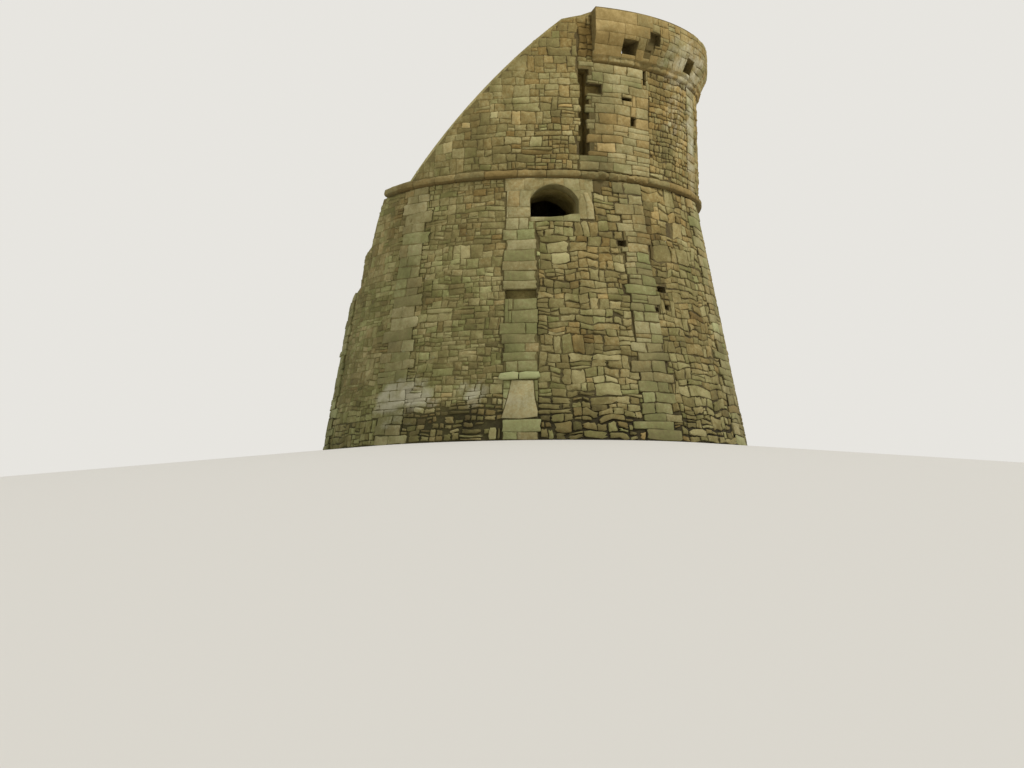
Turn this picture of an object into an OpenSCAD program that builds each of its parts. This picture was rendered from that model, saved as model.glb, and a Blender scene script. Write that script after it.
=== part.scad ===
// Ruined round coastal watch tower. A battered rubble base with ashlar ribs carries a half-round
// string course, a plain round drum and what is left of an overhanging parapet. One arched embrasure
// opens into a vaulted room on the first floor. The upper left side has fallen along a slope that
// a mortar capping now covers. Angles run round the tower in degrees from its front, which is -Y,
// and grow towards +X. All sizes are in millimetres, and the ground is at z = 0.

/* [Scarp] */
// Radius of the battered base at the ground
scarp_base_r = 6300; // [6000:10:6800]
// Height of the battered base, up to the string course
scarp_h = 7280; // [7000:10:7600]
// How far the top of the batter lies inside the drum's face
scarp_top_inset = 40; // [0:5:120]

/* [Ribs] */
// Number of ashlar ribs round the base
rib_count = 10; // [8:1:12]
// Angle of the first rib, just left of the embrasure
rib_first_angle = -3.5; // [-4.5:0.1:-3]
// Angle that each rib covers
rib_angle = 8.6; // [7:0.1:10]
// How far a rib stands proud of the rubble bays
rib_proud = 45; // [10:5:90]
// Depth of the facing: of the rubble bays and of the blocks in the ribs
facing_depth = 620; // [540:10:900]
// Height of the foot of the block that is lost from the front rib
lost_block_z = 3850; // [3000:10:5000]
// Height of the lost block
lost_block_h = 250; // [150:10:400]
// Depth of the hole that the lost block left
lost_block_depth = 240; // [100:10:400]

/* [Room] */
// Radius of the round room
room_r = 2900; // [2600:10:3000]
// How far the room's floor lies below the string course
floor_drop = 1630; // [1400:10:1980]
// Thickness of the floor's paving
floor_t = 120; // [60:10:250]
// Height of the vault's springing above the floor
vault_spring_h = 1050; // [850:10:1100]
// Width of the ledge that the vault leaves at its springing
vault_ledge = 60; // [20:5:120]

/* [Embrasure] */
// Angle of the embrasure's centre line
window_angle = 6.8; // [5.5:0.1:8]
// Clear width of the embrasure
window_w = 1340; // [1100:10:1400]
// How far its sill lies below the string course
window_drop = 1130; // [1100:10:1180]
// Height of its sides, from the sill to the arch's springing
window_side_h = 520; // [400:10:560]
// Rise of its segmental arch
window_arch_rise = 430; // [250:10:460]
// Depth of the jambs' dressed stones
surround_depth = 520; // [300:10:900]
// How much deeper the lintel is tied in than the jambs
lintel_extra_depth = 50; // [20:5:80]
// Depth of the sill stone
sill_depth = 460; // [250:10:500]
// How far the dressed stones stand proud of the rubble
surround_proud = 30; // [5:5:80]
// Height of the arch lintel, up to the string course
lintel_h = 360; // [250:10:400]
// Thickness of the sill stone
sill_t = 110; // [60:5:160]
// Width of the right jamb's stones, on the face
right_jamb_w = 400; // [250:10:600]
// How far the lintel runs past each jamb
lintel_run = 60; // [0:5:100]

/* [Drum] */
// Radius of the drum
drum_r = 5000; // [4800:10:5300]
// Height of the half-round string course
course_h = 240; // [160:10:300]
// How deep the string course is tied into the wall
course_depth = 300; // [150:10:500]
// Angle at which the string course breaks off on the left
course_break_angle = -57; // [-60:1:-50]
// Height of the drum's wall, from the string course up to the ledge
drum_h = 3060; // [2960:10:3160]
// Angle of the left side of the upright chase
chase_angle = 15; // [14:0.1:16]
// Width of the chase
chase_w = 310; // [150:10:340]
// Depth of the chase
chase_depth = 560; // [200:10:800]
// Height of the foot of the chase above the string course
chase_rise = 420; // [280:10:600]
// Height of the chase
chase_h = 2440; // [2000:10:2500]
// Angle at which the ashlar pier right of the chase ends
pier_end_angle = 41; // [39:0.5:43]
// How far the pier and the smooth strip stand proud of the rubble
pier_proud = 25; // [5:5:60]
// Angle of the middle of the smooth strip at the right
strip_angle = 68.5; // [66:0.5:71]
// Angle that the smooth strip covers
strip_span = 8.6; // [6:0.1:10]

/* [Parapet] */
// Height of the ledge under the parapet
ledge_h = 200; // [160:10:300]
// How far the ledge stands out of the drum
ledge_proud = 90; // [40:5:150]
// Height of the parapet above the ledge
parapet_h = 1320; // [1200:10:1600]
// How far the parapet's foot stands out of the drum
parapet_foot_proud = 130; // [100:5:180]
// How far its upright face stands out of the drum
parapet_proud = 360; // [250:5:420]
// Height over which the parapet leans out
parapet_lean_h = 720; // [500:10:900]
// Thickness of the parapet at its foot
parapet_t = 630; // [450:10:800]
// Radius of the worn edge along the parapet's top
parapet_edge_r = 90; // [30:5:120]
// Angle at which the parapet starts, right of the chase
parapet_first_angle = 19.8; // [19:0.1:21]
// Angle of the middle of the first gun loop
loop_first_angle = 32; // [31:0.1:33]
// Angle between the gun loops, each in a stretch of parapet of its own
loop_pitch = 29.6; // [28:0.1:29.8]
// Number of gun loops that are left
loop_count = 5; // [4:1:5]
// Width of a gun loop
loop_w = 480; // [300:10:600]
// Height of a gun loop
loop_h = 370; // [250:10:450]
// Height of a gun loop's sill above the ledge
loop_sill_h = 120; // [80:10:300]
// Thickness of the terrace paving
terrace_t = 120; // [60:10:200]
// Angle of the middle of the scar in the parapet's face
scar_angle = 40.3; // [39:0.1:41]
// Width of the scar
scar_w = 400; // [200:10:500]
// Height of the scar
scar_h = 820; // [600:10:900]
// Depth of the scar
scar_depth = 200; // [80:10:300]

/* [Collapse] */
// How far the slope's foot lies inside the drum's left edge
slope_foot_inset = 1550; // [1450:10:1650]
// Rise of the slope's foot above the string course
slope_foot_rise = 30; // [20:5:100]
// Radius of the slope's slight outward curve
slope_r = 30000; // [12000:100:40000]
// Horizontal length of the gentler crest above the slope
crest_run = 540; // [400:10:850]
// Height that the crest climbs
crest_rise = 140; // [50:10:350]
// How far the crest's end lies below the parapet's top
crest_drop = 190; // [100:10:350]
// How far the crest's end lies left of the parapet's first stone
crest_gap = 415; // [300:5:500]
// Horizontal length of the last step, from the crest up to the parapet's top
step_run = 450; // [430:10:600]
// Thickness of the mortar capping on the slope
capping_t = 90; // [40:5:150]
// How far the sheared left face lies inside the drum's left edge, at the string course
shear_inset = 760; // [600:10:900]
// How much further out the sheared face runs at its foot
shear_flare = 1290; // [1100:10:1400]
// Height of the sheared face below the string course
shear_drop = 3080; // [2500:10:3500]

/* [Hidden] */
$fn = 288;
eps = 5;
floor_z = scarp_h - floor_drop;
vault_spring_z = floor_z + vault_spring_h;
window_sill_z = scarp_h - window_drop;
course_top_z = scarp_h + course_h;
ledge_z = course_top_z + drum_h;
ledge_top_z = ledge_z + ledge_h;
parapet_top_z = ledge_top_z + parapet_h;
scarp_top_r = drum_r - scarp_top_inset;
shear_x = drum_r - shear_inset;
rib_pitch = 360 / rib_count;
rib_w = scarp_base_r * rib_angle * PI / 180;
vault_r = room_r - vault_ledge;
parapet_in_r = drum_r + parapet_foot_proud - parapet_t;
terrace_foot_z = ledge_top_z - terrace_t;
lintel_z = scarp_h - lintel_h;
window_arch_r = (pow(window_w / 2, 2) + pow(window_arch_rise, 2)) / (2 * window_arch_rise);
window_face_r = scarp_r(window_sill_z);
window_half_angle = asin(window_w / 2 / window_face_r);
right_jamb_angle = right_jamb_w / window_face_r * 180 / PI;
lintel_run_angle = lintel_run / window_face_r * 180 / PI;
window_from = window_angle - window_half_angle;
window_to = window_angle + window_half_angle;
// The left jamb stands on the first rib, and runs to its left edge
jamb_from = rib_first_angle - rib_angle / 2;
jamb_to = window_to + right_jamb_angle;
chase_to_angle = chase_angle + chase_w / drum_r * 180 / PI;
parapet_end_angle = loop_first_angle + loop_pitch * (loop_count - 0.5);
back_break_angle = 180 - course_break_angle;

// Length and height of a rubble stone, and of a block of the pier
stone = [330, 170];
block = [440, 270];
// Pockets where single stones have dropped out of the scarp: angle, height as a share of the scarp's,
// and length and height in stones
scarp_pockets = [
    [39.8, 0.574, 1, 1],
    [36.9, 0.4945, 0.45, 0.75],
    [40.9, 0.507, 0.5, 0.75],
    [27.4, 0.742, 0.8, 1],
];
// Pockets in the ashlar pier of the drum, in the same way. The first opens into the chase, and the
// last runs up to the ledge.
pier_pockets = [
    [20.4, 0.714, 1, 1],
    [32.0, 0.680, 0.75, 0.33],
    [35.4, 0.451, 0.77, 1],
    [39.3, 0.86, 0.5, 1.7],
];
pocket_depth = 300;
// Hollows of the scar in the parapet: angle from its middle, foot, width, height and depth, each as
// a share of the scar's
scar_hollows = [
    [0.9, 0.60, 1, 0.4, 1],
    [-0.3, 0.31, 0.75, 0.34, 0.6],
    [-1.2, 0.05, 0.6, 0.35, 0.85],
];

// Left outline of the fallen part below the slope, as shares of its flare and of its drop
shear_shares = [
    [0.10, 0.075],
    [0.22, 0.22],
    [0.34, 0.44],
    [0.51, 0.50],
    [0.61, 0.81],
    [0.78, 0.87],
    [0.90, 0.935],
    [1, 1],
];
shear_outline = concat(
    [[shear_x, course_top_z]],
    [for (s = shear_shares) [shear_x + shear_flare * s[0], scarp_h - shear_drop * s[1]]]
);

strip_from = strip_angle - strip_span / 2;
strip_to = strip_angle + strip_span / 2;
// Stretches of the drum's wall: name, first angle, last angle, how far it stands proud, and whether it
// runs on up past the terrace. The first is the ashlar pier with the chase.
drum_spans = [
    ["drum_pier", chase_angle, pier_end_angle, pier_proud, false],
    ["drum_right", pier_end_angle, strip_from, 0, false],
    ["drum_strip", strip_from, strip_to, pier_proud, false],
    ["drum_back", strip_to, parapet_end_angle, 0, false],
    ["drum_back_left", parapet_end_angle, 213, 0, true],
    ["drum_left", 213, 327, 0, false],
    ["drum_front", 327, 360 + chase_angle, 0, true],
];
// Stretches of the string course: first angle, last angle
course_spans = [
    [course_break_angle, 40],
    [40, 140],
    [140, back_break_angle],
];

rubble = "#8c7b5c";
ashlar = "#9c8f6b";
dressed = "#a89c76";
mortar = "#9d9274";
paving = "#857a60";

// Radius of the batter at a height
function scarp_r(z) = scarp_base_r + (scarp_top_r - scarp_base_r) * z / scarp_h;
function rib_centre(i) = rib_first_angle + (i - 1) * rib_pitch;
// The first rib stops under the embrasure's left jamb
function rib_top(i) = (i - 1) % rib_count == 0 ? window_sill_z : scarp_h;
function loop_centre(i) = loop_first_angle + loop_pitch * (i - 1);
function parapet_from(i) = i == 1 ? parapet_first_angle : loop_centre(i) - loop_pitch / 2;

// A section, drawn as radius and height, swept round the axis from one angle to another
module sweep(from, to) {
    rotate([0, 0, from - 90])
        rotate_extrude(angle = to - from)
            children();
}

// A shape drawn at the front of the tower, turned to stand at an angle
module at_angle(a) {
    rotate([0, 0, a]) children();
}

// Section through a band of the batter, between two depths behind its face
module batter_section(z_low, z_high, outer, inner) {
    polygon([
        [scarp_r(z_low) - inner, z_low],
        [scarp_r(z_low) + outer, z_low],
        [scarp_r(z_high) + outer, z_high],
        [scarp_r(z_high) - inner, z_high],
    ]);
}

// A pocket in a wall face: angle, radius of the face, foot, width, height and depth
module pocket(a, face_r, z, w, h, depth) {
    at_angle(a)
        translate([-w / 2, -face_r - depth, z])
            cube([w, 2 * depth, h]);
}

module scarp_pocket(p) {
    z = p[1] * scarp_h;
    pocket(p[0], scarp_r(z), z, p[2] * stone[0], p[3] * stone[1], pocket_depth);
}

// Everything that has fallen, as seen from the front, and as deep as the tower.
// drop lowers the slope, so that the walls stop under their capping.
module collapse(drop = 0) {
    foot = [slope_foot_inset - drum_r, course_top_z + slope_foot_rise - drop];
    crest = [
        (drum_r + parapet_proud) * sin(parapet_first_angle) - crest_gap,
        parapet_top_z - crest_drop - drop];
    head = crest - [crest_run, crest_rise];
    chord = norm(head - foot);
    lean = atan2(head[1] - foot[1], head[0] - foot[0]);
    half = asin(chord / 2 / slope_r);
    centre = (foot + head) / 2 + slope_r * cos(half) * [sin(lean), -cos(lean)];
    steps = 12;
    slope = [for (i = [0 : steps])
        let (a = 90 + lean + half - 2 * half * i / steps)
        centre + slope_r * [cos(a), sin(a)]];
    shear = [for (i = [len(shear_outline) - 1 : -1 : 0]) [-shear_outline[i][0], shear_outline[i][1]]];
    sky = 2 * parapet_top_z;
    far = 2 * scarp_base_r;
    rotate([90, 0, 0])
        linear_extrude(2 * far, center = true)
            polygon(concat(
                [[-far, shear_outline[len(shear_outline) - 1][1]]],
                shear,
                slope,
                [crest, crest + [step_run, crest_drop + eps], [crest[0] + step_run, sky], [-far, sky]]
            ));
}

// The embrasure's arched outline, pushed through the wall into the room
module window_void(from_r, to_r) {
    at_angle(window_angle)
        translate([0, -from_r, window_sill_z])
            rotate([90, 0, 0])
                linear_extrude(to_r - from_r)
                    intersection() {
                        translate([-window_w / 2, 0])
                            square([window_w, window_side_h + window_arch_rise]);
                        union() {
                            translate([-window_w / 2, 0])
                                square([window_w, window_side_h]);
                            translate([0, window_side_h + window_arch_rise - window_arch_r])
                                circle(window_arch_r);
                        }
                    }
}

module lintel_block(proud, over = 0) {
    sweep(jamb_from - lintel_run_angle, jamb_to + lintel_run_angle)
        batter_section(lintel_z, scarp_h + over, proud, surround_depth + lintel_extra_depth);
}

module jamb_block(proud) {
    sweep(jamb_from, jamb_to)
        batter_section(window_sill_z, lintel_z, proud, surround_depth);
}

module sill_block(proud, over = 0) {
    sweep(window_from, window_to)
        batter_section(window_sill_z - sill_t, window_sill_z + over, proud, sill_depth);
}

// Rubble facing between two ribs
module scarp_bay(i) {
    color(rubble)
        difference() {
            sweep(rib_centre(i) + rib_angle / 2, rib_centre(i + 1) - rib_angle / 2)
                batter_section(0, scarp_h, 0, facing_depth);
            if (i == 1 || i == rib_count)
                lintel_block(2 * surround_proud, eps);
            if (i == 1) {
                window_void(room_r, scarp_base_r);
                jamb_block(2 * surround_proud);
                sill_block(2 * surround_proud, eps);
                for (p = scarp_pockets)
                    scarp_pocket(p);
            }
            if (i == 2)
                for (p = scarp_pockets)
                    scarp_pocket(p);
            collapse(capping_t);
        }
}

module rib(i) {
    color(ashlar)
        difference() {
            sweep(rib_centre(i) - rib_angle / 2, rib_centre(i) + rib_angle / 2)
                batter_section(0, rib_top(i), rib_proud, facing_depth);
            if (i == 1) {
                pocket(rib_centre(1), scarp_r(lost_block_z), lost_block_z, rib_w, lost_block_h,
                    lost_block_depth);
                sill_block(2 * rib_proud, eps);
            }
            if (i == 2)
                for (p = scarp_pockets)
                    scarp_pocket(p);
            collapse(capping_t);
        }
}

// Solid masonry behind the facing, up to the room's floor
module rubble_core() {
    color(rubble)
        cylinder(h = floor_z - floor_t, r1 = scarp_r(0) - facing_depth,
            r2 = scarp_r(floor_z - floor_t) - facing_depth);
}

// The wall round the room, behind the facing
module room_wall() {
    foot_z = floor_z - floor_t;
    color(rubble)
        difference() {
            sweep(0, 360)
                polygon([
                    [room_r, foot_z],
                    [scarp_r(foot_z) - facing_depth, foot_z],
                    [scarp_r(scarp_h) - facing_depth, scarp_h],
                    [room_r, scarp_h],
                ]);
            window_void(room_r - window_w, scarp_base_r);
        }
}

module room_floor() {
    color(paving)
        translate([0, 0, floor_z - floor_t])
            cylinder(r = room_r, h = floor_t);
}

module vault() {
    color(mortar)
        difference() {
            translate([0, 0, vault_spring_z])
                cylinder(r = room_r, h = terrace_foot_z - vault_spring_z);
            translate([0, 0, vault_spring_z])
                sphere(vault_r);
            window_void(room_r - window_w, room_r + window_w);
            collapse(capping_t);
        }
}

module window_lintel() {
    color(dressed)
        difference() {
            lintel_block(surround_proud);
            window_void(room_r, scarp_base_r);
        }
}

module window_jambs() {
    color(dressed)
        difference() {
            jamb_block(surround_proud);
            window_void(room_r, scarp_base_r);
        }
}

module window_sill() {
    color(dressed)
        sill_block(surround_proud);
}

module string_course(i) {
    color(dressed)
        difference() {
            sweep(course_spans[i - 1][0], course_spans[i - 1][1])
                union() {
                    translate([drum_r - course_depth, scarp_h])
                        square([course_depth, course_h]);
                    translate([drum_r, scarp_h + course_h / 2])
                        intersection() {
                            circle(course_h / 2);
                            translate([0, -course_h / 2])
                                square([course_h / 2, course_h]);
                        }
                }
            collapse();
        }
}

// Section of the drum's wall. A raised stretch runs on up as a plain parapet, flush with the drum.
module drum_section(proud, raised) {
    top_z = raised ? parapet_top_z : ledge_z;
    polygon([
        [room_r, scarp_h],
        [drum_r - course_depth, scarp_h],
        [drum_r - course_depth, course_top_z],
        [drum_r + proud, course_top_z],
        [drum_r + proud, top_z],
        [parapet_in_r, top_z],
        [parapet_in_r, terrace_foot_z],
        [room_r, terrace_foot_z],
    ]);
}

module drum_wall(k) {
    span = drum_spans[k];
    color(span[3] > 0 ? ashlar : rubble)
        difference() {
            union() {
                sweep(span[1], span[2])
                    drum_section(span[3], span[4]);
                if (k == len(drum_spans) - 1)
                    chase_head();
            }
            if (k == 0) {
                chase();
                for (p = pier_pockets)
                    pocket(p[0], drum_r, course_top_z + drum_h * p[1], p[2] * block[0], p[3] * block[1],
                        pocket_depth);
            }
            collapse(capping_t);
        }
}

// The upright slot beside the pier, open at its left side's joint with the rubble wall
module chase() {
    sweep(chase_angle - 1, chase_to_angle)
        translate([drum_r - chase_depth, course_top_z + chase_rise])
            square([2 * chase_depth, chase_h]);
}

// Broken rubble over the chase, between the raised wall and the parapet's first stone
module chase_head() {
    sweep(chase_angle, parapet_first_angle)
        translate([parapet_in_r, ledge_z])
            square([drum_r - parapet_in_r, parapet_top_z - ledge_z]);
}

// The ledge, and over it the course that carries the sills of the gun loops
module parapet_ledge() {
    scar = scar_hollows[len(scar_hollows) - 1];
    color(dressed)
        difference() {
            sweep(parapet_first_angle, parapet_end_angle)
                polygon([
                    [parapet_in_r, ledge_z],
                    [drum_r, ledge_z],
                    [drum_r + ledge_proud, ledge_z + ledge_proud],
                    [drum_r + ledge_proud, ledge_top_z],
                    parapet_face(0),
                    parapet_face(loop_sill_h),
                    [parapet_in_r, ledge_top_z + loop_sill_h],
                ]);
            // The scar has broken the ledge's edge too
            pocket(scar_angle + scar[0], drum_r + ledge_proud, ledge_z - eps, scar[2] * scar_w,
                ledge_h + loop_sill_h + 2 * eps, ledge_proud + scar_depth / 4);
        }
}

// Point of the parapet's leaning face at height h over the ledge
function parapet_face(h) = [
    drum_r + parapet_foot_proud
        + (parapet_proud - parapet_foot_proud) * (1 - cos(180 * h / parapet_lean_h)) / 2,
    ledge_top_z + h
];

// Section of the overhanging parapet: it leans out, stands upright and has a worn top edge
module parapet_section() {
    face_r = drum_r + parapet_proud;
    steps = 4;
    lean = [for (i = [0 : steps])
        parapet_face(loop_sill_h + (parapet_lean_h - loop_sill_h) * i / steps)];
    worn = [for (i = [0 : steps])
        let (a = 90 * i / steps)
        [face_r - parapet_edge_r * (1 - cos(a)), parapet_top_z - parapet_edge_r * (1 - sin(a))]];
    polygon(concat(
        [[parapet_in_r, ledge_top_z + loop_sill_h]],
        lean,
        worn,
        [[parapet_in_r, parapet_top_z]]
    ));
}

module parapet(i) {
    face_r = drum_r + parapet_proud;
    color(ashlar)
        difference() {
            sweep(parapet_from(i), loop_centre(i) + loop_pitch / 2)
                parapet_section();
            at_angle(loop_centre(i))
                translate([-loop_w / 2, -face_r - eps, ledge_top_z + loop_sill_h - eps])
                    cube([loop_w, 2 * parapet_t, loop_h + eps]);
            if (i == 1)
                for (s = scar_hollows)
                    at_angle(scar_angle + s[0])
                        translate([-s[2] * scar_w / 2, -face_r - eps, ledge_top_z + s[1] * scar_h])
                            cube([s[2] * scar_w, s[4] * scar_depth + eps, s[3] * scar_h]);
            if (i == 1 || i == loop_count)
                collapse();
        }
}

module terrace() {
    color(paving)
        difference() {
            translate([0, 0, terrace_foot_z])
                cylinder(r = parapet_in_r, h = terrace_t);
            collapse(capping_t);
        }
}

// Mortar over the slope where the walls and the vault broke away. Above the terrace it only covers
// the wall that rises past it.
module slope_capping() {
    color(mortar)
        intersection() {
            difference() {
                collapse(capping_t);
                collapse();
            }
            union() {
                translate([0, 0, course_top_z])
                    cylinder(r = drum_r, h = ledge_top_z - course_top_z);
                sweep(parapet_end_angle, 360 + parapet_first_angle)
                    translate([parapet_in_r, ledge_top_z - eps])
                        square([drum_r - parapet_in_r, parapet_h + eps]);
            }
        }
}

for (i = [1 : rib_count])
    scarp_bay(i);
for (i = [1 : rib_count])
    rib(i);
rubble_core();
room_wall();
room_floor();
vault();
window_lintel();
window_jambs();
window_sill();
for (i = [1 : len(course_spans)])
    string_course(i);
for (k = [0 : len(drum_spans) - 1])
    drum_wall(k);
parapet_ledge();
for (i = [1 : loop_count])
    parapet(i);
terrace();
slope_capping();
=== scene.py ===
"""Looks of a ruined round coastal watch tower, laid stone by stone over its solid frame.

Angles run round the tower in degrees from its front, which is -Y, and grow towards +X. Lengths are
in metres. Every wall is a Face, which turns a place along the wall, a height up it and a distance
out of it into a point, and every stone is a closed block worked out on such a face.
"""

from functools import reduce

import bpy
import numpy as np
from mathutils import Matrix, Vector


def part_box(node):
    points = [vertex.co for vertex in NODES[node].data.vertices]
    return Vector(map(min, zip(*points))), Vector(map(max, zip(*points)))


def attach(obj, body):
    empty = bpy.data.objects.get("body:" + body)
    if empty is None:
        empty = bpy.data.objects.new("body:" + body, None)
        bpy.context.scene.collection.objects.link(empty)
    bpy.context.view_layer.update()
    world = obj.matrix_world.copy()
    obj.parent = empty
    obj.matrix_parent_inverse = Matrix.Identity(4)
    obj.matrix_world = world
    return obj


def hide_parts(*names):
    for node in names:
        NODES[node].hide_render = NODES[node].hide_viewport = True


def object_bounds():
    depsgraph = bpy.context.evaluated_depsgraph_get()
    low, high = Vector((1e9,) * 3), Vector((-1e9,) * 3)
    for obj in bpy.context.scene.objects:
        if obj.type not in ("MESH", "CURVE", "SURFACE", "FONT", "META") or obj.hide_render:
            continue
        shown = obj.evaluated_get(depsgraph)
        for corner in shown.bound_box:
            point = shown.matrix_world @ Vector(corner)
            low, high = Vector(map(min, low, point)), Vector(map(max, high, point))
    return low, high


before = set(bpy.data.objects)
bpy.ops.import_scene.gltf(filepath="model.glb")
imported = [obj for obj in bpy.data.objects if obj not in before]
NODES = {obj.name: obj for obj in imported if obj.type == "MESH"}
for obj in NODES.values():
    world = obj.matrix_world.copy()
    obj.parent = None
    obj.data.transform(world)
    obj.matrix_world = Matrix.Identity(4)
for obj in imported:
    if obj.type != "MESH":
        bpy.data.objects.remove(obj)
CAD_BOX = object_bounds()

bl_info = {
    "name": "Ruined coastal watch tower",
    "version": (1, 0, 0),
    "blender": (4, 5, 0),
    "location": "View3D > Sidebar > Tower",
    "description": "Lays the stones of a ruined coastal watch tower over its solid frame",
    "category": "Add Mesh",
}

BODY = "root"

# Heights of the main levels, read from the frame
COURSE_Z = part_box("string_course_1")[0][2]
COURSE_TOP_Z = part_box("string_course_1")[1][2]
LEDGE_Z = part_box("parapet_ledge")[0][2]
LEDGE_TOP_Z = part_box("terrace")[1][2]
SILL_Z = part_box("parapet_ledge")[1][2]
TOP_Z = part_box("parapet_2")[1][2]

# Radii: the base at its foot and at its head, the drum, the parapet's foot, and the inside of the walls
FOOT_R = 6.30
HEAD_R = 4.96
HEAD_Z = 7.28
DRUM_R = 5.0
PARAPET_R = 5.13
WALL_IN_R = 4.5
# How far the parapet leans out, and over what height
LEAN = 0.23
LEAN_HIGH = 0.72

# The foot of the lowest course, and the gap that courses keep from a moulding or a floor
BED_Z = 0.02
GAP = 0.01

# The ribs: how many, the angle between them, the middle of the first, their breadth, and how far they
# stand out of the base
RIB_COUNT = 10
RIB_PITCH = 36.0
RIB_FIRST = -3.5
RIB_SPAN = 8.6
RIB_PROUD = 0.045
# The ends of the parapet, the middle of its first gun loop and the angle between two loops
PARAPET_FIRST = 19.8
PARAPET_LAST = 165.2
LOOP_FIRST = 32.0
LOOP_PITCH = 29.6
LOOP_COUNT = 5

# Holes that stones stay clear of: first angle, last angle, foot, top
SCARP_HOLES = [
    (-8.9, 18.9, 6.90, 7.40),
    (-8.3, 19.2, 6.12, 6.91),
    (-1.2, 14.8, 6.02, 6.20),
    (38.1, 41.6, 4.17, 4.36),
    (36.0, 37.7, 3.59, 3.74),
    (39.9, 41.9, 3.68, 3.83),
    (25.9, 28.9, 5.39, 5.55),
]
DRUM_HOLES = [
    (17.5, 23.0, 9.695, 9.985),
    (30.1, 33.9, 9.595, 9.695),
    (33.4, 35.7, 8.90, 9.17),
    (38.9, 40.3, 10.16, 10.7),
]
# The chase from its foot up, with its ragged edges, in the same way
CHASE = [
    (14.8, 18.2, 7.95, 8.12),
    (14.3, 19.7, 8.12, 8.30),
    (15.5, 17.6, 8.30, 8.58),
    (15.0, 19.9, 8.58, 8.70),
    (15.7, 17.5, 8.70, 8.98),
    (15.1, 20.6, 8.98, 9.12),
    (15.9, 17.3, 9.12, 9.40),
    (15.2, 19.4, 9.40, 9.52),
    (15.5, 17.8, 9.52, 9.98),
    (14.8, 17.7, 9.98, 10.20),
    (15.4, 19.3, 10.20, 10.40),
]
# The scar in the parapet's first stretch, in the same way
SCAR = [
    (39.0, 43.3, 11.25, 11.61),
    (38.4, 41.6, 11.02, 11.33),
    (37.8, 40.4, 10.78, 11.12),
]
# Outline of the fallen left side, as heights and distances left of the axis
SHEAR_Z = np.array([0.0, 4.199, 4.20, 4.40, 4.60, 4.785, 5.74, 5.925, 6.60, 7.05, 7.52])
SHEAR_X = np.array([9.0, 9.0, 5.53, 5.40, 5.245, 5.025, 4.90, 4.68, 4.525, 4.37, 4.24])
# Where the fall starts in that outline. The points before it stand for the whole wall.
SHEAR_START = 2
# The slope: its foot and head, the radius of its curve, and the ends of the crest and of the last step
SLOPE_FOOT = np.array([-3.45, 7.55])
SLOPE_HEAD = np.array([0.86, 11.77])
SLOPE_R = 30.0
CREST = np.array([1.40, 11.91])
STEP = np.array([1.85, 12.10])
# A height or a distance past everything
ENDLESS = 99.0


def base_radius(z):
    """Radius of the battered base: foot - (foot - head) z / head's height, a straight line."""
    return FOOT_R - (FOOT_R - HEAD_R) * np.asarray(z) / HEAD_Z


def drum_radius(z):
    """Radius of the drum, the same at every height."""
    return np.full(np.shape(z), DRUM_R)


def inner_radius(z):
    """Radius of the inner face of the parapet and of the raised walls."""
    return np.full(np.shape(z), WALL_IN_R)


def parapet_radius(z):
    """Radius of the parapet: foot + lean (1 - cos(180 deg t)) / 2, with t from 0 to 1 up its lean."""
    t = np.clip((np.asarray(z) - LEDGE_TOP_Z) / LEAN_HIGH, 0, 1)
    return PARAPET_R + LEAN * (1 - np.cos(np.pi * t)) / 2


class Face:
    """A wall face. at(u, v, h) gives the points at u along it, v up it and h out of it."""

    def __init__(self, at, breadth, hollow=False):
        self.at = at
        self.breadth = breadth
        self.hollow = hollow


def round_face(radius, extra=0.0, hollow=False):
    """A face round the axis, with u in degrees: (r + h n) (sin u, -cos u), v + h m.

    (n, m) is the unit normal of the profile, so a battered wall's stones stand square to it.
    A hollow face looks towards the axis.
    """
    side = -1.0 if hollow else 1.0

    def at(u, v, h):
        r = radius(v) + extra * side
        lean = (radius(v + 0.01) - radius(v - 0.01)) / 0.02
        long = np.hypot(1, lean)
        a = np.radians(u)
        out = r + side * h / long
        return np.stack([out * np.sin(a), -out * np.cos(a), v - side * h * lean / long], -1)

    def breadth(v):
        return np.radians(radius(v))

    return Face(at, breadth, hollow)


def profile_face(points):
    """A face over a line drawn in the X-Z plane and carried along Y: u runs along -Y, v along the line.

    A point is line(v) + h normal(v), where the normal is the line's direction turned a quarter left.
    """
    points = np.asarray(points, float)
    steps = np.diff(points, axis=0)
    long = np.concatenate([[0], np.cumsum(np.hypot(steps[:, 0], steps[:, 1]))])

    def line(v):
        return np.interp(v, long, points[:, 0]), np.interp(v, long, points[:, 1])

    def at(u, v, h):
        x, z = line(v)
        ahead, behind = line(v + 0.05), line(v - 0.05)
        dx, dz = ahead[0] - behind[0], ahead[1] - behind[1]
        span = np.hypot(dx, dz) + 1e-9
        return np.stack([x - h * dz / span, -u, z + h * dx / span], -1)

    face = Face(at, lambda v: np.ones(np.shape(v)))
    face.length = long[-1]
    face.line = line
    return face


def level_face(z):
    """A floor at height z: u along X, v along Y and h up."""
    return Face(lambda u, v, h: np.stack([u, v, z + h], -1), lambda v: np.ones(np.shape(v)))


def ripple(x, y, seed, wave):
    """Smooth noise, about -1 to 1: the sum of ten sine waves in random directions, of length near wave."""
    rng = np.random.default_rng(seed)
    angle = rng.uniform(0, 2 * np.pi, 10)
    pace = 2 * np.pi / wave * rng.uniform(0.6, 1.7, 10)
    start = rng.uniform(0, 2 * np.pi, 10)
    x, y = np.asarray(x)[..., None], np.asarray(y)[..., None]
    return np.sin(pace * (x * np.cos(angle) + y * np.sin(angle)) + start).sum(-1) / 3.4


def spot(x, y, cx, cy, wide, high):
    """A soft spot of height 1: exp(-(dx/wide)^2 - (dy/high)^2)."""
    return np.exp(-((x - cx) / wide) ** 2 - ((y - cy) / high) ** 2)


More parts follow.
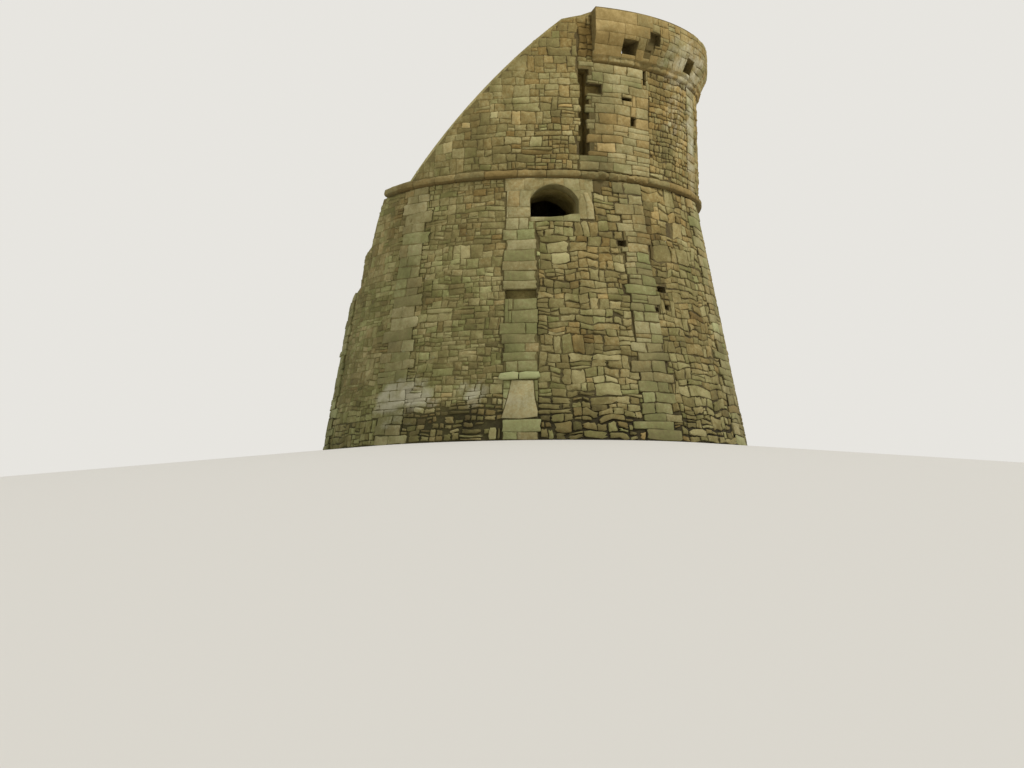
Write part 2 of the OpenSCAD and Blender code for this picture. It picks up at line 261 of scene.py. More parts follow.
def band(a, middle, half):
    """1 over a stretch of wall round its middle, and 0 beyond: exp(-((a - middle) / half)^4)."""
    return np.exp(-(((a - middle) / half) ** 4))


def worked(value, u, v):
    """A number as it is, or a function's value at u and v."""
    return value(u, v) if callable(value) else value


def slope_height(x):
    """Height of the ruin's top at x: the string course, the arc from foot to head, the crest and the step.

    The arc is the circle through foot and head whose centre lies below them: cz + sqrt(R^2 - (x - cx)^2).
    """
    chord = SLOPE_HEAD - SLOPE_FOOT
    half = np.hypot(*chord) / 2
    middle = (SLOPE_FOOT + SLOPE_HEAD) / 2
    normal = np.array([chord[1], -chord[0]]) / (2 * half)
    centre = middle + normal * np.sqrt(SLOPE_R**2 - half**2)
    x = np.asarray(x, float)
    arc = centre[1] + np.sqrt(SLOPE_R**2 - (x - centre[0]) ** 2)
    crest = np.interp(x, [SLOPE_HEAD[0], CREST[0], STEP[0]], [SLOPE_HEAD[1], CREST[1], STEP[1]])
    high = np.where(x < SLOPE_HEAD[0], arc, crest)
    high = np.where(x < SLOPE_FOOT[0], COURSE_TOP_Z, high)
    return np.where(x > STEP[0], ENDLESS, high)


def standing(u, v, radius, below=0.05):
    """Whether the ruin still stands at angle u and height v of a round wall, a little inside its edges."""
    x = radius(v) * np.sin(np.radians(u))
    return (v < slope_height(x) - below) & (x > 0.02 - np.interp(v, SHEAR_Z, SHEAR_X))


def clear(u, v, holes):
    """Whether a place is outside every hole of a list."""
    free = np.ones(np.broadcast(u, v).shape, bool)
    for a, b, low, high in holes:
        free &= ~((u > a) & (u < b) & (v > low) & (v < high))
    return free


def cuts(rng, low, high, count, spread):
    """count + 1 places from low to high, at steps that differ from each other by up to spread."""
    steps = rng.uniform(1 - spread, 1 + spread, count)
    return low + (high - low) * np.concatenate([[0], np.cumsum(steps)]) / steps.sum()


def lay(rng, face, u0, u1, v0, v1, course, length, spread=0.25):
    """Rows of cells over a stretch of a face, each (u from, u to, v from, v to)."""
    rows = cuts(rng, v0, v1, max(1, round((v1 - v0) / course)), spread * 0.6)
    out = []
    for k, (low, high) in enumerate(zip(rows[:-1], rows[1:])):
        count = max(1, int(round(float((u1 - u0) * face.breadth((low + high) / 2)) / length)))
        step = (u1 - u0) / count
        # Every second row is moved by half a stone, so that joints break
        ends = cuts(rng, u0, u1 + step, count + 1, spread) - step * ((k % 2) / 2 + rng.uniform(0.05, 0.45))
        ends = ends[(ends > u0 + 0.35 * step) & (ends < u1 - 0.35 * step)]
        ends = np.concatenate([[u0], ends, [u1]])
        out.append(np.stack([ends[:-1], ends[1:], 0 * ends[1:] + low, 0 * ends[1:] + high], 1))
    return np.concatenate(out)


def middles(cells):
    """The middle of each cell, as u and v."""
    return (cells[:, 0] + cells[:, 1]) / 2, (cells[:, 2] + cells[:, 3]) / 2


def measures(cells, face):
    """Length and height of each cell, in metres."""
    return (cells[:, 1] - cells[:, 0]) * face.breadth(middles(cells)[1]), cells[:, 3] - cells[:, 2]


def split(rng, cells, side, pick, between):
    """Splits the picked cells in two along u (side 0) or v (side 2), at a drawn share of their size."""
    at = cells[:, side] + (cells[:, side + 1] - cells[:, side]) * rng.uniform(*between, len(cells))
    first, second = cells[pick].copy(), cells[pick].copy()
    first[:, side + 1] = second[:, side] = at[pick]
    return np.concatenate([cells[~pick], first, second])


def stacked(rng, cells, chance, least):
    """Splits some of the cells that are over least high into a lower and an upper one."""
    pick = (rng.random(len(cells)) < chance) & (cells[:, 3] - cells[:, 2] > least)
    return split(rng, cells, 2, pick, (0.36, 0.64))


def halved(rng, cells, face, chance, least):
    """Splits some of the cells that are over least long into a left and a right one."""
    pick = (rng.random(len(cells)) < chance) & (measures(cells, face)[0] > least)
    return split(rng, cells, 0, pick, (0.33, 0.67))


def carved(cells, face, holes, least=0.055):
    """Cells cut round rectangular holes: what is left of a cell beside, below and above each hole."""
    for a, b, foot, top in holes:
        hit = (cells[:, 1] > a) & (cells[:, 0] < b) & (cells[:, 3] > foot) & (cells[:, 2] < top)
        left, right, below, above = (cells[hit].copy() for _ in range(4))
        left[:, 1] = np.minimum(left[:, 1], a)
        right[:, 0] = np.maximum(right[:, 0], b)
        for part in (below, above):
            part[:, 0] = np.maximum(part[:, 0], a)
            part[:, 1] = np.minimum(part[:, 1], b)
        below[:, 3] = np.minimum(below[:, 3], foot)
        above[:, 2] = np.maximum(above[:, 2], top)
        cells = np.concatenate([cells[~hit], left, right, below, above])
        long, high = measures(cells, face)
        cells = cells[(long > least) & (high > least)]
    return cells


def rubble_cells(rng, face, u0, u1, v0, v1, size=1.0):
    """Rubble: courses of about 0.4 m whose cells are split in height and length, so joints break."""
    cells = lay(rng, face, u0, u1, v0, v1, 0.41 * size, 0.66 * size, 0.35)
    cells = stacked(rng, cells, 0.88, 0.26 * size)
    cells = halved(rng, cells, face, 0.78, 0.38 * size)
    cells = halved(rng, cells, face, 0.30, 0.40 * size)
    return stacked(rng, cells, 0.18, 0.19 * size)


class Stones:
    """Stones to be laid: the middle of each in a face's u and v, and its outline round it in metres."""

    def __init__(self, u, v, outline):
        self.u = u
        self.v = v
        self.outline = outline

    def pick(self, keep):
        """The stones that a mask keeps."""
        return Stones(self.u[keep], self.v[keep], self.outline[keep])

    def area(self):
        """Area of each outline, by the sum of cross products of its points in turn."""
        x, y = self.outline[..., 0], self.outline[..., 1]
        return abs((x * np.roll(y, -1, 1) - y * np.roll(x, -1, 1)).sum(1)) / 2

    def bent(self, face, fine, coarse, seed):
        """Bends the outlines by ripples that all stones share, so that joints wander but stay even.

        x' = x + fine ripple(4x, y) + coarse ripple(x, y) and y' = y + fine ripple(x, 4y) + coarse
        ripple(x, y), so that a course slants and thins on its own, and so does an upright joint.
        """
        x = self.u[:, None] * face.breadth(self.v)[:, None] + self.outline[..., 0]
        y = self.v[:, None] + self.outline[..., 1]
        bend = [fine * ripple(x * (4 - 3 * k), y * (1 + 3 * k), seed + 9 * k, 0.9)
                + coarse * ripple(x, y, seed + 5 + 9 * k, 1.6) for k in (0, 1)]
        return Stones(self.u, self.v, self.outline + np.stack(bend, -1))

    def trimmed(self, face, kept, least=0.006):
        """Draws each outline's points in towards its middle, as far as needed to reach a kept place.

        The furthest kept share t of each point's reach is found by halving. Slivers are dropped.
        """
        good = kept(self.u, self.v)
        stones = self.pick(good)
        metre = face.breadth(stones.v)[:, None]
        low, high = np.zeros(stones.outline.shape[:2]), np.ones(stones.outline.shape[:2])

        def fine(t):
            return kept(stones.u[:, None] + t * stones.outline[..., 0] / metre,
                        stones.v[:, None] + t * stones.outline[..., 1])

        whole = fine(high)
        for _ in range(6):
            middle = (low + high) / 2
            inside = fine(middle)
            low, high = np.where(inside, middle, low), np.where(inside, high, middle)
        stones.outline = stones.outline * np.where(whole, 1.0, np.maximum(low, 0.05))[..., None]
        shift = stones.outline.mean(1)
        stones.outline = stones.outline - shift[:, None]
        stones.u = stones.u + shift[:, 0] / metre[:, 0]
        stones.v = stones.v + shift[:, 1]
        return stones.pick(stones.area() > least)


def blocks(rng, face, cells, joint, cut):
    """Four-sided stones over cells: each side has a mid point that may be dented and a cut at either end.

    The joint's width and the cut may differ from cell to cell.
    """
    count = len(cells)
    joint = joint * rng.uniform(0.5, 1.6, count)
    cut = np.reshape(cut, (-1, 1, 1))
    corner = np.array([(-1, -1), (1, -1), (1, 1), (-1, 1)], float)
    way = np.roll(corner, -1, 0) - corner
    inward = np.stack([-way[:, 1], way[:, 0]], 1) / 2
    first = rng.uniform(0.25, 1.0, (count, 4, 1)) * cut
    last = rng.uniform(0.25, 1.0, (count, 4, 1)) * cut
    middle = rng.uniform(0.38, 0.62, (count, 4, 1))
    dent = rng.uniform(-0.2, 1.0, (count, 4, 1)) * cut * 0.5
    points = np.stack([
        corner + way * first / 2,
        corner + way * middle + inward * dent,
        corner + way * (1 - last / 2),
    ], 2).reshape(count, 12, 2)
    half = [np.maximum(size / 2 - joint / 2, 0.02) for size in measures(cells, face)]
    return Stones(*middles(cells), points * np.stack(half, 1)[:, None])


def fitted(rng, face, cells, joint, shift=0.28, stretch=0.72, sides=14, neighbours=18):
    """Many-sided stones that fit each other: each covers what is nearer to its middle than to others'.

    With distances along the wall times stretch, the reach in a direction is the least of
    (half the way to a neighbour - half a joint) / cos(angle between the direction and that way), and is
    held between 1 and 50 cm. The sides of the whole stretch of wall bound it in the same way.
    """
    box = cells[:, 0].min(), cells[:, 1].max(), cells[:, 2].min(), cells[:, 3].max()
    wide, high = cells[:, 1] - cells[:, 0], cells[:, 3] - cells[:, 2]
    u, v = middles(cells)
    u = u + wide * np.clip(rng.normal(0, shift, len(cells)), -0.4, 0.4)
    v = v + high * np.clip(rng.normal(0, shift, len(cells)), -0.4, 0.4)
    metre = face.breadth(v) * stretch
    dx = (u[None] - u[:, None]) * metre[:, None]
    dy = v[None] - v[:, None]
    far = np.hypot(dx, dy)
    np.fill_diagonal(far, ENDLESS)
    near = np.argpartition(far, min(neighbours, len(u) - 2), 1)[:, :neighbours]
    dx, dy, far = (np.take_along_axis(a, near, 1) for a in (dx, dy, far))
    turn = (np.arange(sides) + rng.uniform(0, 1, (len(u), 1))) * 2 * np.pi / sides
    c, s = np.cos(turn), np.sin(turn)
    facing = (c[:, :, None] * dx[:, None] + s[:, :, None] * dy[:, None]) / far[:, None]
    reach = np.where(facing > 0.04, (far[:, None] - joint) / 2 / np.maximum(facing, 0.04), ENDLESS).min(2)
    walls = (((box[1] - u) * metre, c), ((u - box[0]) * metre, -c), (box[3] - v, s), (v - box[2], -s))
    for room, towards in walls:
        gap = np.maximum(room - joint / 2, 0.015)[:, None]
        reach = np.minimum(reach, np.where(towards > 0.04, gap / np.maximum(towards, 0.04), ENDLESS))
    reach = np.clip(reach, 0.01, 0.5)
    return Stones(u, v, np.stack([reach * c / stretch, reach * s], 2))


def drawn(face, outlines, sides=16):
    """Stones from outlines drawn as (u, v) corners, each with sides points spread along its edge."""
    us, vs, shapes = [], [], []
    for outline in outlines:
        outline = np.array(outline, float)
        u, v = outline.mean(0)
        loop = np.concatenate([outline, outline[:1]])
        x, y = (loop[:, 0] - u) * face.breadth(v), loop[:, 1] - v
        long = np.concatenate([[0], np.cumsum(np.hypot(np.diff(x), np.diff(y)))])
        at = np.linspace(0, long[-1], sides, endpoint=False)
        # Each corner is matched by its nearest point, so that corners stay sharp
        nearest = np.abs(at[None] - long[:-1, None]).argmin(1)
        at[nearest] = long[:-1]
        at = np.sort(at)
        us.append(u)
        vs.append(v)
        shapes.append(np.stack([np.interp(at, long, x), np.interp(at, long, y)], 1))
    return Stones(np.array(us), np.array(vs), np.array(shapes))


def lay_stones(rng, face, stones, relief, edge, rough, tilt, root=0.03):
    """Closed blocks for stones on a face, as (points, [quads, triangles, bottoms], stone of each point).

    A stone has a bottom outline in the mortar, at the depth of its root, the same outline at its arris, an
    inner outline where its face begins, and a crown. Its face stands out by relief, which may differ from
    stone to stone, and slants by a drawn share of tilt. The arris is edge wide and three quarters of that
    deep, and the face is uneven by rough.
    """
    count, sides = stones.outline.shape[:2]
    metre = face.breadth(stones.v)
    half_u, half_v = np.abs(stones.outline[..., 0]).max(1), np.abs(stones.outline[..., 1]).max(1)
    stand = relief * rng.uniform(0.6, 1.3, count)
    slant = rng.normal(0, tilt, (count, 2))
    shrink = np.stack([
        np.clip(1 - edge * rng.uniform(0.6, 1.5, count) / half_u, 0.5, 0.98),
        np.clip(1 - edge * rng.uniform(0.6, 1.5, count) / half_v, 0.5, 0.98)], 1)

    def ring(outline, drop, jitter):
        x, y = outline[..., 0], outline[..., 1]
        h = stand[:, None] - drop + slant[:, :1] * x + slant[:, 1:] * y
        return x, y, h + rng.uniform(-jitter, jitter, x.shape)

    arris = ring(stones.outline, edge * 0.75, rough * 0.5)
    rim = ring(stones.outline * shrink[:, None], 0, rough)
    x = np.concatenate([arris[0], arris[0], rim[0], np.zeros((count, 1))], 1)
    y = np.concatenate([arris[1], arris[1], rim[1], np.zeros((count, 1))], 1)
    crown = stand[:, None] + rng.uniform(0, rough * 1.4, (count, 1))
    h = np.concatenate([
        np.full(arris[2].shape, -root), np.maximum(arris[2], 0.002), np.maximum(rim[2], 0.004), crown], 1)
    points = keep_in_box(face.at(stones.u[:, None] + x / metre[:, None], stones.v[:, None] + y, h))

    each = 3 * sides + 1
    k = np.arange(sides)
    n = (k + 1) % sides
    base = (np.arange(count) * each)[:, None, None]
    walls = np.stack([k, n, n + sides, k + sides], 1)
    quads = (base + np.concatenate([walls, walls + sides])).reshape(-1, 4)
    cap = np.stack([k + 2 * sides, n + 2 * sides, np.full(sides, each - 1)], 1)
    tris = (base + cap).reshape(-1, 3)
    bottoms = (np.arange(count) * each)[:, None] + k[::-1]
    owner = np.repeat(np.arange(count), each)
    if face.hollow:
        quads, tris, bottoms = quads[:, ::-1], tris[:, ::-1], bottoms[:, ::-1]
    return points.reshape(-1, 3), [quads, tris, bottoms], owner


def wall(rng, face, cells, holes, kept, joint, cut, bend, relief, edge, rough, tilt, missing=0.0, root=0.03):
    """Stones over cells: cut round the holes, drawn as blocks, bent, trimmed to the places kept and laid.

    The joint, the cut, the relief and the share of missing stones are numbers or functions of u and v.
    The bend holds how far the fine and the coarse ripples bend the joints, and the ripples' seed.
    """
    cells = carved(cells, face, holes)
    middle = middles(cells)
    stones = blocks(rng, face, cells, worked(joint, *middle), worked(cut, *middle))
    stones = stones.bent(face, *bend).trimmed(face, kept)
    stones = stones.pick(rng.random(len(stones.u)) >= worked(missing, stones.u, stones.v))
    relief = worked(relief, stones.u, stones.v)
    return lay_stones(rng, face, stones, relief, edge, rough, tilt, root)


def tube(rows, columns):
    """The faces of a grid of rows times columns of points, closed along its columns."""
    j, k = np.meshgrid(np.arange(rows - 1), np.arange(columns), indexing="ij")
    n = (k + 1) % columns
    low, high = j * columns, (j + 1) * columns
    return np.stack([low + k, high + k, high + n, low + n], -1).reshape(-1, 4)


def keep_in_box(points, slack=0.0005):
    """Holds points inside the CAD model's own box."""
    return np.clip(points, np.array(CAD_BOX[0]) + slack, np.array(CAD_BOX[1]) - slack)


def course_blocks(rng, spans, profile, wear, stations=9):
    """Blocks of a moulding, as (points, [quads, ends], block of each point).

    A block carries the profile's (radius, height, share of wear) points from one angle to another. Each
    point's radius is r - share * wear(angle, height), so that a worn stretch sinks back to the wall. The
    wear grows towards a block's ends by up to 12 mm times |2t - 1|^8, and each block is set up to 6 mm
    further out or in than the next.
    """
    profile = np.array(profile, float)
    rim = len(profile)
    spans = np.array(spans, float)
    t = np.linspace(0, 1, stations)
    angle = spans[:, :1] + (spans[:, 1:] - spans[:, :1]) * t
    a = angle[:, :, None] + np.zeros(rim)
    z = profile[:, 1] + np.zeros(a.shape)
    end = np.abs(2 * t - 1)[None, :, None] ** 8
    r = profile[:, 0] - profile[:, 2] * (wear(a, z) + 0.012 * end * rng.uniform(0.2, 1.0, (len(spans), 1, 1)))
    r = r + rng.uniform(-0.006, 0.006, (len(spans), 1, 1)) * (profile[:, 2] > 0)
    x, y = r * np.sin(np.radians(a)), -r * np.cos(np.radians(a))
    x = np.maximum(x, 0.005 - np.interp(z, SHEAR_Z, SHEAR_X))
    points = keep_in_box(np.stack([x, y, z], -1))
    each = stations * rim
    start = (np.arange(len(spans)) * each)[:, None, None]
    quads = (start + tube(stations, rim)).reshape(-1, 4)
    ends = np.concatenate([start[:, 0] + np.arange(rim), start[:, 0] + each - 1 - np.arange(rim)])
    owner = np.repeat(np.arange(len(spans)), each)
    return points.reshape(-1, 3), [quads, ends], owner


def build_mesh(name, points, groups):
    """A mesh from points and groups of faces, each group an array of faces with equally many corners."""
    mesh = bpy.data.meshes.new(name)
    mesh.vertices.add(len(points))
    mesh.vertices.foreach_set("co", np.ascontiguousarray(points, np.float32).ravel())
    loops = np.concatenate([g.ravel() for g in groups])
    sizes = np.concatenate([np.full(len(g), g.shape[1]) for g in groups])
    mesh.loops.add(len(loops))
    mesh.loops.foreach_set("vertex_index", loops.astype(np.int32))
    mesh.polygons.add(len(sizes))
    mesh.polygons.foreach_set("loop_start", (np.cumsum(sizes) - sizes).astype(np.int32))
    mesh.update(calc_edges=True)
    return mesh


def add_attribute(mesh, name, values):
    """A number on each point of a mesh, for its material."""
    layer = mesh.attributes.new(name, "FLOAT", "POINT")
    layer.data.foreach_set("value", np.ascontiguousarray(values, np.float32))


def add_piece(name, made, material, numbers, smooth=False, instead_of=None):
    """Puts finished stones into the scene as a piece that rides on the tower."""
    points, groups, _ = made
    mesh = build_mesh(name, points, groups)
    for key, values in numbers.items():
        add_attribute(mesh, key, values)
    if smooth:
        mesh.shade_smooth()
    piece = bpy.data.objects.new(name, mesh)
    bpy.context.scene.collection.objects.link(piece)
    mesh.materials.append(finish(material))
    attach(piece, BODY)
    if instead_of:
        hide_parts(instead_of)


def joined(parts):
    """Several (points, groups, owner) sets of stones as one."""
    points, groups, owners, shift, count = [], [], [], 0, 0
    for p, g, o in parts:
        if len(p):
            points.append(p)
            groups.extend(faces + shift for faces in g)
            owners.append(o + count)
            shift += len(p)
            count += o.max() + 1
    return np.concatenate(points), groups, np.concatenate(owners)


def from_back(a):
    """The same angle, from -90 to 270."""
    return (a + 90) % 360 - 90


def angle_and_height(points):
    """Angle round the tower in degrees, from -90 to 270, and height, of points."""
    return from_back(np.degrees(np.arctan2(points[:, 0], -points[:, 1]))), points[:, 2]


def stone_middles(points, owner):
    """Angle and height of each stone's middle, which is the mean of its points."""
    count = owner.max() + 1
    middle = np.stack([np.bincount(owner, points[:, i], count) for i in range(3)], 1)
    middle /= np.bincount(owner, minlength=count)[:, None]
    return angle_and_height(middle)


# Length along the wall of one degree at a radius of 5.6 m, between foot and drum. Noise and spots that
# are drawn over the whole tower are measured with it.
DEGREE = np.radians(5.6)

# Single stones that are much paler than their neighbours: angle, height, tone
PALE_STONES = [
    (2.3, 5.09, 1.5), (9.5, 5.01, 1.4), (-13.2, 4.52, 1.3), (-20.2, 5.13, 0.9), (7.2, 2.91, 1.5),
    (19.0, 2.38, 1.0), (20.3, 1.59, 1.2), (-20.6, 8.81, 1.9), (-11.6, 9.08, 1.7), (9.1, 9.30, 1.3),
    (2.9, 8.61, 0.8), (-4.0, 9.1, 1.0), (-15.8, 1.32, 1.2), (-27.5, 8.2, 1.2), (26.0, 8.1, 1.0),
    (-3.7, 1.15, 1.2), (-6.5, 1.72, 1.9), (-1.3, 1.73, 1.8), (-3.2, 0.38, 0.8), (16.8, 6.45, 1.3),
]
# Stretches with a turn of colour: angle, height, breadth, height of the spot, hue and tone. Most are
# stains; a few dark spots are painted shade: beside rib 2, in the parapet's scar and under the ledge
STAINS_AND_SHADE = [
    (-11.7, 6.83, 0.45, 0.22, 1.6, -0.2), (14.9, 2.7, 0.4, 0.35, 1.3, 0.0),
    # (38.4, 6.4): painted shade beside the proud rib 2, over a dark eroded stretch
    (38.2, 9.02, 0.28, 0.16, 2.6, 0.1), (38.4, 6.4, 0.14, 0.8, 0.1, -2.0),
    (16.8, 10.95, 0.22, 0.18, 1.6, -0.6), (-39.5, 6.75, 0.45, 0.45, -0.1, 0.9),
    # (39.2, 4.9): painted shade beside the proud rib 2, over a dark eroded stretch
    (32.0, 6.7, 0.65, 0.55, 0.9, 0.1), (39.2, 4.9, 0.28, 1.3, 0.1, -1.5), (-44.5, 6.9, 0.2, 0.5, 0.9, -1.2),
    (-11.0, 5.6, 0.8, 0.4, 0.5, 0.0), (24.0, 11.5, 0.30, 0.45, 1.1, 0.3), (2.0, 4.3, 1.2, 0.8, 0.4, 0.0),
    (24.0, 8.1, 0.55, 0.45, 1.6, 0.3), (28.0, 7.1, 0.90, 0.22, 0.8, -1.0),
    (19.9, 7.08, 0.18, 0.18, 0.8, -3.2), (17.5, 11.2, 0.30, 0.60, 1.2, -0.6),
    (36.5, 10.7, 0.25, 0.12, 1.2, -0.4), (17.5, 9.0, 0.6, 1.5, -0.4, -0.8), (10.0, 3.4, 0.8, 1.2, 0.3, -0.3),
    # (36.0, 5.6): painted shade beside the proud rib 2, over a dark eroded stretch
    (36.0, 5.6, 0.5, 1.2, 0.2, -0.7), (-36.0, 3.9, 0.35, 0.25, -0.5, -1.2),
    (52.0, 9.4, 0.8, 0.8, 0.5, -0.2), (-3.0, 6.9, 0.4, 0.2, 0.5, 0.4), (-48.0, 6.8, 0.8, 0.4, 0.3, -1.0),
    (44.0, 4.4, 0.4, 0.6, 0.2, -0.9), (46.0, 10.9, 0.9, 0.5, -0.2, -0.3), (-20.0, 0.65, 1.4, 0.4, 1.2, -1.3),
    (-3.5, 5.2, 0.6, 1.0, -0.3, 0.5), (6.0, 0.5, 1.0, 0.4, 0.4, -0.8), (30.0, 0.5, 1.5, 0.5, 0.6, -0.6),
    # Painted shade in the parapet's scar
    (38.6, 11.05, 0.14, 0.22, 0.2, -3.6), (41.0, 11.4, 0.16, 0.16, 0.2, -3.4),
    # (55.0, 10.5): painted shadow under the ledge
    (55.0, 10.5, 1.0, 0.08, 0.2, -2.6), (31.5, 9.65, 0.22, 0.06, 2.4, -0.6),
    (17.9, 6.5, 0.09, 0.3, 0.8, -1.0), (62.0, 11.2, 1.6, 0.7, -0.4, -0.1), (53.0, 9.3, 0.9, 1.2, -0.2, 0.0),
]
# Patches of lime plaster that are left: angle, height, breadth, height of the patch, strength
PLASTER_SPOTS = [
    (-35.2, 1.38, 0.75, 0.42, 1.0), (-42.0, 1.15, 0.5, 0.30, 0.6), (-28.8, 1.12, 0.35, 0.22, 0.7),
    (-15.8, 1.28, 0.38, 0.34, 0.85), (-3.7, 1.05, 0.40, 0.35, 0.6), (-38.0, 0.55, 0.8, 0.20, 0.4),
    (62.0, 11.2, 1.6, 0.7, 0.5), (55.0, 9.5, 0.9, 1.5, 0.35), (68.5, 8.9, 0.45, 1.8, 0.6),
]


def plaster(a, z):
    """How much lime plaster is left at an angle and a height."""
    along = a * DEGREE
    left = sum(gain * spot(along, z, at * DEGREE, height, wide, high)
               for at, height, wide, high, gain in PLASTER_SPOTS)
    return left * (1 + 0.5 * ripple(along, z, 91, 0.5))


def shadowed(numbers, points, height):
    """Paints shade on the underside of a moulding, below a height: a darker, browner tone where its shadow
    falls.
    """
    under = points[:, 2] < height
    return {**numbers, "tone": numbers["tone"] - 3.0 * under, "hue": numbers["hue"] + 0.6 * under}


def stone_numbers(rng, made, spread=1.0, tone=0.0, hue=0.0):
    """Numbers for the stones' material: a tone and a hue for each stone, and plaster where some is left.

    tone = the piece's own + a draw + a ripple along the wall, with a few stones much paler or darker, and
    hue = the piece's own + a draw + a ripple. Pale stones and stains, with a few spots of painted shade
    among them, are laid over both. The spread of the tones is a number or a function of angle and height.
    """
    points, _, owner = made
    a, z = stone_middles(points, owner)
    spread = worked(spread, a, z)
    along = a * DEGREE
    tones = tone + rng.normal(0, 0.42 * spread, len(a)) + 0.30 * ripple(along, z, 71, 2.6)
    tones += 0.9 * spread * (rng.random(len(a)) > 0.97) - 0.9 * spread * (rng.random(len(a)) > 0.96)
    hues = hue + rng.normal(0, 0.52, len(a)) + 0.35 * ripple(along, z, 83, 3.4)
    for at, height, gain in PALE_STONES:
        # The stone of this piece that lies nearest, if it is near enough to be the one that is meant
        near = np.argmin(((a - at) * DEGREE) ** 2 + (z - height) ** 2)
        if abs(a[near] - at) < 3 and abs(z[near] - height) < 0.25:
            tones[near] = gain * 1.5
    for at, height, wide, high, turn, gain in STAINS_AND_SHADE:
        near = spot(along, z, at * DEGREE, height, wide, high)
        hues += turn * near
        tones += gain * near
    return {"tone": tones[owner], "hue": hues[owner], "lime": plaster(*angle_and_height(points))}


class Shading:
    """A node tree being built. node adds a node and gives it, and the other methods give an output."""

    def __init__(self, tree):
        self.tree = tree
        tree.nodes.clear()

    def node(self, kind, inputs=None, **settings):
        """A node of a kind, with its settings set and its inputs given as values or linked sockets."""
        node = self.tree.nodes.new(kind)
        for key, value in settings.items():
            setattr(node, key, value)
        for key, value in (inputs or {}).items():
            socket = node.inputs[key]
            if isinstance(value, bpy.types.NodeSocket):
                self.tree.links.new(value, socket)
            elif socket.type == "RGBA":
                socket.default_value = (*value, 1.0)
            else:
                socket.default_value = value
        return node

    def number(self, kind, *values):
        """A kind of sum of the first value and each next one in turn."""
        def step(a, b):
            return self.node("ShaderNodeMath", {0: a, 1: b}, operation=kind).outputs[0]

        return reduce(step, values)

    def added(self, *values):
        """The sum of sockets and numbers."""
        return self.number("ADD", *values)

    def times(self, *values):
        """The product of sockets and numbers."""
        return self.number("MULTIPLY", *values)

    def ranged(self, value, low, high, to_low=0.0, to_high=1.0):
        """A value moved from low..high to to_low..to_high, held at both ends."""
        return self.node("ShaderNodeMapRange", {
            "Value": value, "From Min": low, "From Max": high, "To Min": to_low, "To Max": to_high,
        }).outputs["Result"]

    def noise(self, place, scale, detail, roughness):
        """A noise texture's value at a place."""
        return self.node("ShaderNodeTexNoise", {
            "Vector": place, "Scale": scale, "Detail": detail, "Roughness": roughness}).outputs["Fac"]

    def attribute(self, name):
        """A number that the mesh carries on its points."""
        return self.node("ShaderNodeAttribute", attribute_name=name).outputs["Fac"]

    def ramp(self, factor, stops):
        """A colour ramp's output for a factor, from (place, colour) stops."""
        node = self.node("ShaderNodeValToRGB", {"Fac": factor})
        ramp = node.color_ramp
        while len(ramp.elements) < len(stops):
            ramp.elements.new(0.5)
        for element, (place, colour) in zip(ramp.elements, stops):
            element.position = place
            element.color = (*colour, 1.0)
        return node.outputs["Color"]

    def mixed(self, factor, first, second, kind="MIX"):
        """Two colours mixed by a factor, through the inputs of the mix node that take colours."""
        return self.node("ShaderNodeMix", {0: factor, 6: first, 7: second},
                         data_type="RGBA", blend_type=kind).outputs[2]

    def shaded(self, colour, factor):
        """A colour times a factor."""
        grey = self.node("ShaderNodeCombineColor", {0: factor, 1: factor, 2: factor}).outputs[0]
        return self.mixed(1.0, colour, grey, "MULTIPLY")


def painted_hole_light(make, place, z, hole_light):
    """Painted light inside a hole, as how much paler its mortar is: nothing at the face, and the given share
    from 0.24 m in.

    depth = the base's radius at that height - the distance from the axis. It fades out at the ledge, so
    that the inner face of the raised walls doesn't count as a hole.
    """
    flat = make.node("ShaderNodeVectorMath", {0: place, 1: (1.0, 1.0, 0.0)}, operation="MULTIPLY").outputs[0]
    out = make.node("ShaderNodeVectorMath", {0: flat}, operation="LENGTH").outputs["Value"]
    depth = make.number("SUBTRACT", make.ranged(z, 0.0, HEAD_Z, FOOT_R, HEAD_R), out)
    return make.times(make.ranged(depth, 0.08, 0.24), make.ranged(z, 10.5, 10.7, hole_light, 0.0))


